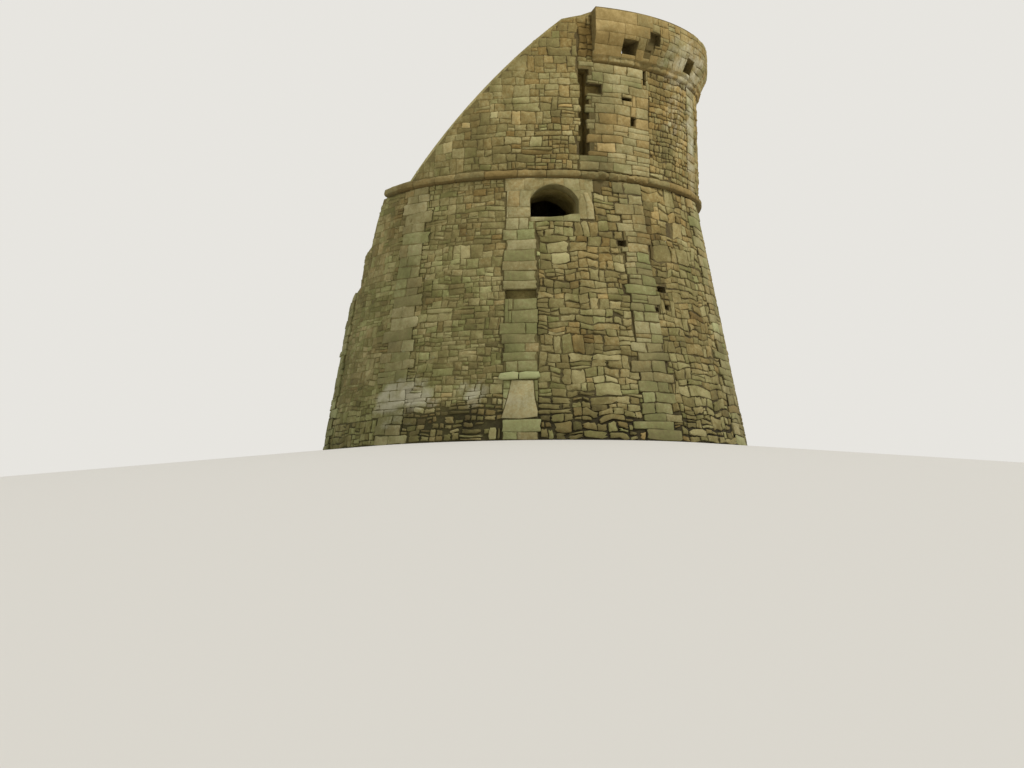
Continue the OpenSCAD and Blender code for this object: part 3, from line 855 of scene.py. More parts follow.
def weathered_stone(name, dark, mid, pale, warm, cool, lime, pits, grain, laid, hole_light):
    """Weathered stone: clouds of dark, mid and pale, each stone's own tone and hue, lime and small pits.

    colour = ramp(clouds + tone), turned towards warm or cool by hue, then towards lime where it is left,
    and darkened in the pits. It is brighter and warmer high up and on the right: partly the stone's own
    weathering and partly painted light, as if lit from above and the right. Mortar is paler on the left,
    where it is nearly flush, darker at the foot as painted shade in its deep, washed-out gaps, and paler
    again inside the holes as painted light reaching into them. The bump is the clouds' finer waves, a
    grain and the pits.
    """
    material = bpy.data.materials.new(name)
    material.use_nodes = True
    make = Shading(material.node_tree)
    place = make.node("ShaderNodeTexCoord").outputs["Object"]
    x, _, z = make.node("ShaderNodeSeparateXYZ", {0: place}).outputs
    clouds = make.noise(place, 1.3, 5.0, 0.62)
    fine = make.noise(place, 11.0, 6.0, 0.68)
    sand = make.noise(place, 70.0, 3.0, 0.6)
    dots = make.node("ShaderNodeTexVoronoi", {"Vector": place, "Scale": 26.0, "Randomness": 1.0})
    dots = make.ranged(dots.outputs["Distance"], 0.05, 0.30, 1.0, 0.0)
    pit = make.times(dots, make.ranged(fine, 0.42, 0.62))
    if laid:
        tone, hue = make.attribute("tone"), make.attribute("hue")
    else:
        tone, hue = make.ranged(x, -5.0, 1.5, 2.4, 0.0), 0.0

    level = make.added(make.times(clouds, 0.75), make.times(fine, 0.45), make.times(tone, 0.12))
    colour = make.ramp(level, [(0.28, dark), (0.56, mid), (0.86, pale)])
    # The turn is warmer high up and on the right, partly as painted light
    turn = make.added(
        hue, make.ranged(clouds, 0.3, 0.7, -0.4, 0.4), make.ranged(fine, 0.35, 0.65, 0.5, -0.5),
        make.ranged(make.added(x, z), -3.0, 15.0, -0.85, 0.85))
    colour = make.mixed(make.ranged(turn, 0.1, 1.7, 0.0, 0.8), colour, warm, "MULTIPLY")
    colour = make.mixed(make.ranged(turn, -0.1, -1.5, 0.0, 0.8), colour, cool, "MULTIPLY")
    # Painted light: brighter high up and on the right, partly the stone's own weathering
    painted_light_and_weathering = make.times(make.ranged(z, 0.0, 12.0, 0.80, 1.26), make.ranged(x, -6.0, 6.0, 0.94, 1.06))
    if laid:
        left = make.added(make.attribute("lime"), make.times(fine, 0.7))
        colour = make.mixed(make.ranged(left, 0.60, 1.25, 0.0, 0.8), colour, lime)
    else:
        # Painted light: paler inside the holes
        inside = painted_hole_light(make, place, z, hole_light)
        # Painted shade: the mortar darker at the foot, in its deep gaps
        painted_light_and_weathering = make.times(painted_light_and_weathering, make.ranged(z, 0.6, 1.5, 0.42, 1.0), make.added(1.0, inside))
    colour = make.shaded(colour, painted_light_and_weathering)
    colour = make.shaded(colour, make.ranged(pit, 0.0, 1.0, 1.0, 1.0 - pits))

    height = make.number("SUBTRACT", make.added(fine, make.times(sand, 0.25)), make.times(pit, 0.5))
    bump = make.node("ShaderNodeBump", {"Height": height, "Strength": 0.6 * grain, "Distance": 0.03})
    shader = make.node("ShaderNodeBsdfPrincipled", {
        "Base Color": colour, "Roughness": make.ranged(fine, 0.3, 0.7, 0.86, 0.97),
        "Normal": bump.outputs["Normal"], "Specular IOR Level": 0.22})
    make.node("ShaderNodeOutputMaterial", {"Surface": shader.outputs[0]})
    return material


def finish_node(node, material):
    """Gives a CAD node its material."""
    for held in NODES[node].material_slots:
        held.material = finish(material)
    if not NODES[node].material_slots:
        NODES[node].data.materials.append(finish(material))


def colour_property(name, description, value):
    """A colour that a user may change."""
    return bpy.props.FloatVectorProperty(
        name=name, description=description, default=value, subtype="COLOR", min=0.0, max=1.0)


def length_property(name, description, value, low=0.0, high=2.0):
    """A length that a user may change."""
    return bpy.props.FloatProperty(
        name=name, description=description, default=value, min=low, max=high, unit="LENGTH", precision=3)


class TowerStonework(bpy.types.PropertyGroup):
    """Sizes of the stones and of their joints."""

    rubble_joint: length_property("Rubble joint", "Width of the joints in the rubble", 0.020)
    rubble_relief: length_property("Rubble relief", "How far rubble stands out of its mortar", 0.026)
    ashlar_joint: length_property("Ashlar joint", "Width of the joints in squared stone", 0.009)
    ashlar_relief: length_property("Ashlar relief", "How far squared stone stands out of its mortar", 0.012)
    ashlar_course: length_property("Ashlar course", "Height of a course of squared stone", 0.285)
    seed: bpy.props.IntProperty(name="Seed", description="Start of the random draws", default=7, min=0)


class TowerColours(bpy.types.PropertyGroup):
    """Colours of the stones, the mortar and the ground."""

    rubble_dark: colour_property("Rubble, dark", "Darkest tone of the rubble", (0.098, 0.078, 0.028))
    rubble_mid: colour_property("Rubble, middle", "Middle tone of the rubble", (0.203, 0.168, 0.062))
    rubble_pale: colour_property("Rubble, pale", "Palest tone of the rubble", (0.415, 0.365, 0.172))
    ashlar_dark: colour_property("Ashlar, dark", "Darkest tone of the squared stone", (0.132, 0.113, 0.045))
    ashlar_mid: colour_property("Ashlar, middle", "Middle tone of the squared stone", (0.235, 0.202, 0.086))
    ashlar_pale: colour_property("Ashlar, pale", "Palest tone of the squared stone", (0.430, 0.390, 0.205))
    mortar_dark: colour_property("Mortar, dark", "Mortar deep in the joints", (0.034, 0.025, 0.010))
    mortar_mid: colour_property("Mortar, middle", "Mortar near the face", (0.086, 0.066, 0.027))
    warm: colour_property("Warm turn", "Tint of the reddish stones", (1.0, 0.78, 0.58))
    cool: colour_property("Cool turn", "Tint of the greenish stones", (0.84, 1.0, 0.84))
    lime: colour_property("Lime", "Colour of the plaster that is left", (0.455, 0.430, 0.302))
    ground: colour_property("Ground", "Colour of the floor", (0.62, 0.60, 0.55))
    sky: colour_property("Backdrop", "Colour behind the tower", (0.80, 0.785, 0.745))


def stonework():
    """The sizes that are set in the scene."""
    return bpy.context.scene.tower_stonework


def finish(name):
    """One of the tower's finishes by name, made at its first use."""
    if name in bpy.data.materials:
        return bpy.data.materials[name]
    c = bpy.context.scene.tower_colours
    rubble = c.rubble_dark, c.rubble_mid, c.rubble_pale
    ashlar = c.ashlar_dark, c.ashlar_mid, c.ashlar_pale
    # Tones, depth of the pits, strength of the grain, whether stones carry their own tones, and how much
    # paler it is inside holes, as painted light
    tones, *surface = {
        "rubble stone": (rubble, 0.45, 1.0, True, 0.0),
        "ashlar stone": (ashlar, 0.35, 0.8, True, 0.0),
        "mortar bed": ((c.mortar_dark, c.mortar_mid, c.rubble_mid), 0.5, 1.6, False, 1.1),
        "wall capping": ((c.mortar_mid, c.rubble_dark, c.rubble_mid), 0.5, 1.6, False, 1.1),
        "worn dressing": (ashlar, 0.35, 0.8, False, 0.0),
        "room stone": (rubble, 0.5, 1.6, False, 0.6),
        "mortar capping": (rubble, 0.5, 2.0, False, 0.0),
    }[name]
    tints = [tuple(t) for t in (*tones, c.warm, c.cool, c.lime)]
    return weathered_stone(name, *tints, *surface)


# Where each kind of piece starts its random draws
DRAWS = {"bay": 0, "rib rows": 40, "rib": 60, "embrasure": 80, "string course": 90, "drum": 100,
         "parapet": 120, "ledge": 130, "slope": 140}


def rng_for(kind, number=0):
    """The random draws of one piece of a kind, the same in every run."""
    return np.random.default_rng([stonework().seed, DRAWS[kind] + number])


# Blocks of the front rib: foot, top, and the angles of its joints
FRONT_ROWS = [
    (0.02, 0.22, (-7.6, -4.2, 0.6)), (0.22, 0.55, (-7.9, 1.5)), (1.83, 2.13, (-7.5, -4.2, 0.9)),
    (2.13, 2.37, (-8.3, 0.6)), (2.37, 2.61, (-7.8, -2.2, 1.3)), (2.61, 2.87, (-8.7, 0.5)),
    (2.87, 3.17, (-9.2, -2.1, 0.9)), (3.17, 3.53, (-5.9, 1.2)), (3.53, 3.84, (-5.6, 0.9)),
    (4.11, 4.35, (-8.6, 1.0)), (4.35, 4.64, (-8.2, 0.7)), (4.64, 4.90, (-8.7, 1.2)),
    (4.90, 5.22, (-8.4, 0.8)), (5.22, 5.50, (-7.8, 1.3)), (5.50, 5.79, (-8.9, -4.7, 0.8)),
    (5.79, 6.12, (-8.2, -4.2, 0.4)),
]
# Its pale block and the two cap stones over it, as corners
FRONT_BLOCKS = [
    [(-8.1, 0.60), (-3.6, 0.57), (0.6, 0.62), (0.7, 0.75), (0.0, 1.1), (-0.3, 1.60), (-5.7, 1.61),
     (-6.6, 1.15)],
    [(-9.1, 1.66), (-8.0, 1.62), (-4.1, 1.63), (-4.0, 1.80), (-5.2, 1.83), (-8.6, 1.79)],
    [(-3.8, 1.63), (0.6, 1.64), (1.5, 1.68), (1.1, 1.81), (-2.2, 1.82), (-3.8, 1.79)],
]
# Small stones beside the pale block, and beside the two rows that are cut short
FRONT_FILL = [
    [(-7.9, 0.80), (-7.7, 0.80), (-7.0, 1.08), (-7.8, 1.12)],
    [(-7.8, 1.15), (-6.9, 1.12), (-6.4, 1.36), (-7.8, 1.36)],
    [(-7.8, 1.39), (-6.3, 1.38), (-6.0, 1.60), (-7.7, 1.60)],
    [(0.3, 1.05), (0.8, 1.00), (0.8, 1.30), (0.0, 1.30)],
    [(-0.05, 1.33), (0.8, 1.33), (0.8, 1.60), (-0.15, 1.60)],
    [(-7.8, 3.19), (-6.9, 3.20), (-6.95, 3.83), (-7.8, 3.83)],
    [(-6.8, 3.19), (-6.05, 3.19), (-6.05, 3.50), (-6.8, 3.50)],
    [(-6.85, 3.54), (-5.8, 3.54), (-5.75, 3.83), (-6.9, 3.83)],
]


def rib_rows(number):
    """Courses of a rib: foot, top and the angles of the joints, some of them past the rib's own edges.

    Every second course runs up to 3.6 degrees past the left edge, the others up to 3.2 past the right
    one, and three courses in four have a joint in the middle.
    """
    if number == 1:
        return FRONT_ROWS
    rng = rng_for("rib rows", number)
    first = RIB_FIRST + (number - 1) * RIB_PITCH - RIB_SPAN / 2
    rows = cuts(rng, BED_Z, COURSE_Z - GAP, round(COURSE_Z / stonework().ashlar_course), 0.28)
    out = []
    for k, (low, high) in enumerate(zip(rows[:-1], rows[1:])):
        left = first - np.clip(rng.normal(1.7, 1.2), 0, 3.6) * (k % 2)
        right = first + RIB_SPAN + np.clip(rng.normal(1.5, 1.1), 0, 3.2) * (1 - k % 2)
        ends = [left, right]
        if rng.random() < 0.75:
            ends.insert(1, left + (right - left) * rng.uniform(0.35, 0.65))
        out.append((low, high, tuple(ends)))
    return out


# In degrees, how far a bay's stones stay off a rib's block: a little beside it, and all the way behind
TOOTH_GAP = 0.05
TOOTH_REACH = 30.0


def teeth(number):
    """Rectangles of a bay that the blocks of the ribs on both its sides take up."""
    shift = 360.0 if number == RIB_COUNT else 0.0
    left = [(ends[-1] - TOOTH_REACH, ends[-1] + TOOTH_GAP, low, high)
            for low, high, ends in rib_rows(number)]
    right = [(ends[0] + shift - TOOTH_GAP, ends[0] + shift + TOOTH_REACH, low, high)
             for low, high, ends in rib_rows(number % RIB_COUNT + 1)]
    return left + right


class TOWER_OT_scarp(bpy.types.Operator):
    """Lays the rubble of the ten bays of the battered base"""

    bl_idname = "tower.scarp"
    bl_label = "Base rubble"

    # Bays of irregular blocks. The others keep to their courses. For each of the two kinds: the joint and
    # the relief as shares of the rubble's, the cut, the tilt, the size of the stones and their bend
    FREE = (1, 2, 5, 6, 8)
    IRREGULAR = (0.85, 1.1, 0.38, 0.07, 1.0, (0.034, 0.030, 20))
    COURSED = (0.60, 0.7, 0.26, 0.04, 0.78, (0.018, 0.020, 20))

    @staticmethod
    def wear(u, v):
        """How worn the foot is: none above a wandering line about 1.3 m up, most left of the front rib."""
        u = from_back(u)
        worst = 0.35 + 0.55 * spot(u * DEGREE, v, -17 * DEGREE, v, 1.2, 1.0)
        return worst * np.clip((1.40 + 0.25 * ripple(u * DEGREE, v, 37, 1.5) - v) / 0.6, 0, 1)

    @staticmethod
    def bare(u, v):
        """How open the joints are: less on the far left and least under plaster."""
        side = np.interp(np.sin(np.radians(u)), [-0.7, -0.1], [0.55, 1])
        return side * (1 - 0.75 * np.clip(plaster(from_back(u), v), 0, 1))

    @staticmethod
    def level(u, v):
        """How much more the rubble stands out where the last rib is worn down to it."""
        return 1.2 * spot(u, v, RIB_FIRST + (RIB_COUNT - 1) * RIB_PITCH, v, 9.0, 1.0)

    def execute(self, context):
        s = stonework()
        face = round_face(base_radius)
        for i in range(1, RIB_COUNT + 1):
            first = RIB_FIRST + (i - 1) * RIB_PITCH + RIB_SPAN / 2
            last = first + RIB_PITCH - RIB_SPAN
            shift = 360.0 if i == RIB_COUNT else 0.0
            holes = [(a + shift, b + shift, low, high) for a, b, low, high in SCARP_HOLES] + teeth(i)

            def kept(u, v):
                return (u > first) & (u < last) & standing(u, v, base_radius) & clear(u, v, holes)

            rng = rng_for("bay", i)
            joint, relief, cut, tilt, size, bend = self.IRREGULAR if i in self.FREE else self.COURSED
            cells = rubble_cells(rng, face, first, last, BED_Z, COURSE_Z - GAP, size)
            made = wall(
                rng, face, cells, holes, kept,
                joint=lambda u, v: s.rubble_joint * (joint + 2.8 * self.wear(u, v)) * self.bare(u, v),
                cut=lambda u, v: cut + 0.40 * self.wear(u, v),
                bend=bend,
                relief=lambda u, v: s.rubble_relief * (
                    (relief + 1.5 * self.wear(u, v)) * self.bare(u, v) + self.level(u, v)),
                edge=0.012, rough=0.008, tilt=tilt,
                missing=lambda u, v: 0.005 + 0.30 * np.maximum(self.wear(u, v) - 0.5, 0))
            numbers = stone_numbers(rng, made, lambda a, z: 1.0 + 0.8 * self.wear(a, z))
            add_piece(f"scarp_bay_{i}_stones", made, "rubble stone", numbers)
            finish_node(f"scarp_bay_{i}", "mortar bed")
        finish_node("rubble_core", "mortar bed")
        finish_node("room_wall", "room stone")
        return {"FINISHED"}


class TOWER_OT_ribs(bpy.types.Operator):
    """Lays the squared blocks of the ten ribs"""

    bl_idname = "tower.ribs"
    bl_label = "Ribs"

    # The front rib is smooth, the last one nearly flush, and the others are rougher. For each kind: the
    # joint and the relief as shares of the squared stone's, the cut, the bend, and the stones' spread of
    # tones and hue
    KINDS = {
        "smooth": (1.3, 1.0, 0.16, (0.007, 0.012, 33), 0.6, -0.7),
        "rough": (1.8, 1.5, 0.28, (0.014, 0.018, 33), 0.95, -0.4),
        "flush": (0.8, 0.9, 0.24, (0.014, 0.018, 33), 0.6, -0.1),
    }
    # How far the pale block and its two cap stones stand out
    BLOCKS_OUT = np.array([0.03, 0.085, 0.075])

    @staticmethod
    def kept(u, v):
        """Whether a place of the base stands and is no hole."""
        return standing(u, v, base_radius) & clear(u, v, SCARP_HOLES)

    def execute(self, context):
        s = stonework()
        face = round_face(base_radius, RIB_PROUD)
        for i in range(1, RIB_COUNT + 1):
            rng = rng_for("rib", i)
            kind = {1: "smooth", RIB_COUNT: "flush"}.get(i, "rough")
            joint, relief, cut, bend, spread, hue = self.KINDS[kind]
            cells = np.array([
                (a, b, low, high) for low, high, ends in rib_rows(i) for a, b in zip(ends[:-1], ends[1:])])
            if kind != "smooth":
                cells = stacked(rng, cells, 0.3, 0.24)
            parts = [wall(
                rng, face, cells, SCARP_HOLES, self.kept, joint=s.ashlar_joint * joint, cut=cut, bend=bend,
                relief=s.ashlar_relief * relief, edge=0.012, rough=0.006, tilt=0.03, root=0.08)]
            if i == 1:
                parts += [
                    lay_stones(rng, face, drawn(face, FRONT_BLOCKS), self.BLOCKS_OUT,
                               edge=0.02, rough=0.008, tilt=0.03, root=0.08),
                    lay_stones(rng, face, drawn(face, FRONT_FILL), 0.012,
                               edge=0.016, rough=0.008, tilt=0.05, root=0.08),
                ]
            made = joined(parts)
            add_piece(f"rib_{i}_blocks", made, "ashlar stone",
                      stone_numbers(rng, made, spread, -0.2, hue))
            finish_node(f"rib_{i}", "wall capping" if i == 1 else "mortar bed")
        return {"FINISHED"}


class TOWER_OT_embrasure(bpy.types.Operator):
    """Dresses the embrasure and the room behind it"""

    bl_idname = "tower.embrasure"
    bl_label = "Embrasure and room"

    # How far the dressed stones stand out of the base
    PROUD = 0.030
    # Stones as corners: the lintel from left to right, over the arch, then the jambs and the sill
    LINTEL = [
        [(-8.5, 6.93), (-2.5, 6.92), (-2.5, 7.27), (-8.4, 7.27)],
        [(-2.45, 6.92), (1.2, 6.92), (2.2, 6.995), (3.5, 7.055), (3.4, 7.27), (-2.45, 7.27)],
        [(3.55, 7.06), (5.3, 7.10), (6.8, 7.115), (8.2, 7.10), (9.9, 7.05), (9.9, 7.27), (3.45, 7.27)],
        [(9.95, 7.05), (11.3, 6.99), (12.4, 6.92), (15.0, 6.93), (14.7, 7.27), (9.95, 7.27)],
        [(15.1, 6.95), (17.2, 6.97), (16.4, 7.12), (16.9, 7.26), (14.8, 7.27)],
    ]
    JAMBS = [
        [(-7.9, 6.47), (-4.0, 6.44), (-3.9, 6.91), (-7.3, 6.91)],
        [(-3.9, 6.44), (-0.85, 6.44), (-0.85, 6.68), (0.3, 6.86), (0.9, 6.91), (-3.8, 6.91)],
        [(-7.4, 6.16), (-0.8, 6.14), (-0.85, 6.42), (-7.6, 6.45)],
        [(14.4, 6.12), (16.6, 6.12), (16.5, 6.62), (15.7, 6.86), (15.1, 6.84), (14.4, 6.62)],
        [(16.75, 6.12), (19.0, 6.12), (18.9, 6.52), (17.4, 6.88), (15.95, 6.88), (16.7, 6.60)],
    ]
    SILL = [
        [(-0.9, 6.07), (3.2, 6.05), (3.4, 6.12), (1.1, 6.15), (-0.7, 6.13)],
        [(3.4, 6.05), (9.0, 6.04), (9.1, 6.18), (6.0, 6.155), (3.6, 6.13)],
        [(9.2, 6.05), (14.4, 6.03), (14.3, 6.26), (11.6, 6.24), (9.3, 6.18)],
    ]

    def execute(self, context):
        rng = rng_for("embrasure")
        face = round_face(base_radius, self.PROUD)
        # Name, outlines, relief, tone and hue
        kinds = [("lintel", self.LINTEL, 0.008, 0.0, 0.6), ("jamb", self.JAMBS, 0.015, 0.0, 0.2),
                 ("sill", self.SILL, 0.006, -0.2, -0.8)]
        for name, outlines, relief, tone, hue in kinds:
            made = lay_stones(rng, face, drawn(face, outlines), relief,
                              edge=0.010, rough=0.004, tilt=0.02, root=0.05)
            add_piece(f"window_{name}_stones", made, "ashlar stone",
                      stone_numbers(rng, made, 0.3, tone, hue))
        for node in ("window_lintel", "window_jambs", "window_sill"):
            finish_node(node, "worn dressing")
        for node in ("room_floor", "vault"):
            finish_node(node, "room stone")
        return {"FINISHED"}


class TOWER_OT_string_course(bpy.types.Operator):
    """Lays the half-round blocks of the string course"""

    bl_idname = "tower.string_course"
    bl_label = "String course"

    # The angles of its three lengths, the length of a block and the radius of its root in the wall
    SPANS = [(-57.0, 40.0), (40.0, 140.0), (140.0, 237.0)]
    BLOCK = 0.8
    ROOT_R = 4.72

    @staticmethod
    def ragged(a):
        """1 over the stretch from 16 to 40 degrees, where the underside is broken away, and 0 elsewhere."""
        return band(a, 28, 12)

    def wear(self, a, z):
        """Loss of stone: a little all over, more over the embrasure, and most on the ragged stretch."""
        low = np.clip((COURSE_Z + 0.17 - z) / 0.12, 0, 1)
        gone = 0.105 * np.clip(ripple(a * DEGREE, z * 0.5, 17, 0.3) * 1.1 + 0.75, 0, 1.2)
        mid = self.ragged(a) * (0.55 + 0.45 * low)
        lost = 0.022 * np.clip(ripple(a * DEGREE, z, 19, 0.7), -0.4, 1.5) + gone * mid
        lost += 0.055 * band(a, 4, 15)
        return lost + (0.012 + 0.016 * mid) * ripple(a * DEGREE, z, 23, 0.16)

    def shade(self, a):
        """Height of the painted shade on the underside: 5 cm, and up to 13 cm more in notches on the ragged
        stretch.
        """
        notches = np.clip(0.4 + ripple(a * DEGREE, 0 * a, 47, 0.22), 0, 1.2)
        return COURSE_Z + 0.05 + 0.11 * self.ragged(a) * notches

    def execute(self, context):
        rng = rng_for("string course")
        turn = np.radians(np.linspace(-90, 90, 9))
        half = (COURSE_TOP_Z - COURSE_Z) / 2
        profile = [(self.ROOT_R, COURSE_TOP_Z, 0), (self.ROOT_R, COURSE_Z, 0)]
        profile += [(DRUM_R + half * np.cos(t), COURSE_Z + half + half * np.sin(t), 1) for t in turn]
        for i, (first, last) in enumerate(self.SPANS, 1):
            ends = cuts(rng, first, last, round((last - first) * np.radians(DRUM_R) / self.BLOCK), 0.3)
            spans = np.stack([ends[:-1] + 0.05, ends[1:] - 0.05], 1)
            made = course_blocks(rng, spans, profile, self.wear, stations=15)
            shade = self.shade(angle_and_height(made[0])[0])
            # Painted shade on the blocks' underside, reaching up into the notches
            numbers = shadowed(stone_numbers(rng, made, 0.5, -0.8, 0.9), made[0], shade)
            add_piece(f"string_course_{i}_blocks", made, "ashlar stone", numbers,
                      smooth=True, instead_of=f"string_course_{i}")
        return {"FINISHED"}


def inner_rubble(rng, first, last, high, holes, seed):
    """Rubble on the inner face of the raised walls, from an angle to another and from the terrace up."""
    s = stonework()
    face = round_face(inner_radius, hollow=True)
    cells = rubble_cells(rng, face, first, last, LEDGE_TOP_Z + GAP, high)
    return wall(
        rng, face, cells, holes, lambda u, v: standing(u, v, inner_radius) & clear(u, v, holes),
        joint=s.rubble_joint, cut=0.3, bend=(0.01, 0.02, seed), relief=s.rubble_relief * 0.7,
        edge=0.015, rough=0.007, tilt=0.05)


class TOWER_OT_drum(bpy.types.Operator):
    """Lays the rubble and the squared stone of the drum"""

    bl_idname = "tower.drum"
    bl_label = "Drum walls"

    # Node, first and last angle, top, how far it stands proud, kind, size of its stones
    WALLS = [
        ("drum_front", 327.0, 376.4, TOP_Z, 0.0, "coursed", 1.0),
        ("drum_left", 213.0, 327.0, TOP_Z, 0.0, "coursed", 1.0),
        ("drum_pier", 15.0, 41.0, LEDGE_Z, 0.025, "ashlar", 1.0),
        ("drum_right", 41.0, 64.2, LEDGE_Z, 0.0, "small", 1.0),
        ("drum_strip", 64.2, 72.8, LEDGE_Z, 0.025, "ashlar", 1.9),
        ("drum_back", 72.8, 165.2, LEDGE_Z, 0.0, "free", 1.0),
        ("drum_back_left", 165.2, 213.0, TOP_Z, 0.0, "coursed", 1.0),
    ]
    # The chase's left edge, from which drum_front's stones show only at the chase and above it
    CHASE_EDGE = 375.0
    # How far round the inner face of the raised walls is laid at each end of the parapet
    RETURN = 30.0

    @staticmethod
    def openness(u, v):
        """How open the joints are: least under the slope, where the mortar is nearly flush."""
        return np.interp(slope_height(DRUM_R * np.sin(np.radians(u))) - v, [0.2, 2.6], [0.15, 1.0])

    @staticmethod
    def small(cells):
        """How much smaller the stones are left of the chase's foot, as a chance to split a cell."""
        u, v = middles(cells)
        return 0.9 * spot(u * DEGREE, v, 369 * DEGREE, 8.1, 1.2, 0.75)

    def dressed(self, rng, face, first, last, high, kind, size):
        """Cells of a wall of a kind, and how its stones are worked."""
        s = stonework()
        low = COURSE_TOP_Z + GAP
        if kind == "ashlar":
            cells = lay(rng, face, first, last, low, high, s.ashlar_course * 0.95, 0.62 * size, 0.3)
            return stacked(rng, cells, 0.2, 0.25), dict(
                joint=s.ashlar_joint * 1.2, cut=0.22, bend=(0.011, 0.016, 52),
                relief=s.ashlar_relief * 1.2, edge=0.012, rough=0.005, tilt=0.03, root=0.16)
        cells = rubble_cells(rng, face, first, last, low, high, size)
        style = dict(joint=s.rubble_joint * 0.8, cut=0.38, bend=(0.024, 0.025, 56),
                     relief=s.rubble_relief, edge=0.012, rough=0.010, tilt=0.08, root=0.16)
        if kind == "small":
            cells = lay(rng, face, first, last, low, high, 0.16, 0.21, 0.5)
            style.update(joint=s.rubble_joint * 0.7, cut=0.62, relief=s.rubble_relief * 1.2)
        if kind == "coursed":
            cells = halved(rng, cells, face, self.small(cells), 0.26)
            cells = stacked(rng, cells, self.small(cells), 0.17)
            style.update(
                joint=lambda u, v: s.rubble_joint * 0.75 * self.openness(u, v), cut=0.30, rough=0.007,
                tilt=0.04, bend=(0.018, 0.020, 58),
                relief=lambda u, v: s.rubble_relief * 0.9 * self.openness(u, v))
        return cells, style

    def contrast(self, a, z):
        """How much the coursed stones differ in tone: less where the joints are nearly flush."""
        return 0.3 + 0.6 * self.openness(a, z)

    def broken_end(self, rng, face):
        """The rough rubble above the chase, up to the start of the parapet."""
        s = stonework()
        last = 360 + PARAPET_FIRST
        cells = rubble_cells(rng, face, self.CHASE_EDGE, last, LEDGE_Z + GAP, TOP_Z, 0.85)
        return wall(
            rng, face, cells, [], lambda u, v: standing(u, v, drum_radius),
            joint=s.rubble_joint * 0.5, cut=0.45, bend=(0.03, 0.04, 57),
            relief=s.rubble_relief * 1.3, edge=0.016, rough=0.012, tilt=0.12)

    def execute(self, context):
        for k, (node, first, last, high, proud, kind, size) in enumerate(self.WALLS):
            rng = rng_for("drum", k)
            face = round_face(drum_radius, proud)
            front = node == "drum_front"
            shift = 360.0 if front else 0.0
            holes = [(a + shift, b + shift, foot, top) for a, b, foot, top in DRUM_HOLES + CHASE]
            if front:
                holes += [(self.CHASE_EDGE, self.CHASE_EDGE + 5, foot, top)
                          for foot, top in ((0.0, CHASE[0][2]), (CHASE[-1][3], ENDLESS))]

            def kept(u, v):
                return standing(u, v, drum_radius) & clear(u, v, holes)

            cells, style = self.dressed(rng, face, first, last, high, kind, size)
            parts = [wall(rng, face, cells, holes, kept, **style)]
            if front:
                parts.append(self.broken_end(rng, face))
            if node in ("drum_front", "drum_back_left"):
                end = 360 + PARAPET_FIRST if front else last
                parts.append(inner_rubble(rng, max(first, end - self.RETURN), end, TOP_Z, [], 59))
            made = joined(parts)
            if kind == "ashlar":
                numbers = stone_numbers(rng, made, 0.6, -0.35, -0.15)
                add_piece(f"{node}_stones", made, "ashlar stone", numbers)
            else:
                spread = self.contrast if kind == "coursed" else 0.9
                numbers = stone_numbers(rng, made, spread, 0.0, 0.15)
                add_piece(f"{node}_stones", made, "rubble stone", numbers)
            finish_node(node, "wall capping" if node == "drum_pier" else "mortar bed")
        return {"FINISHED"}


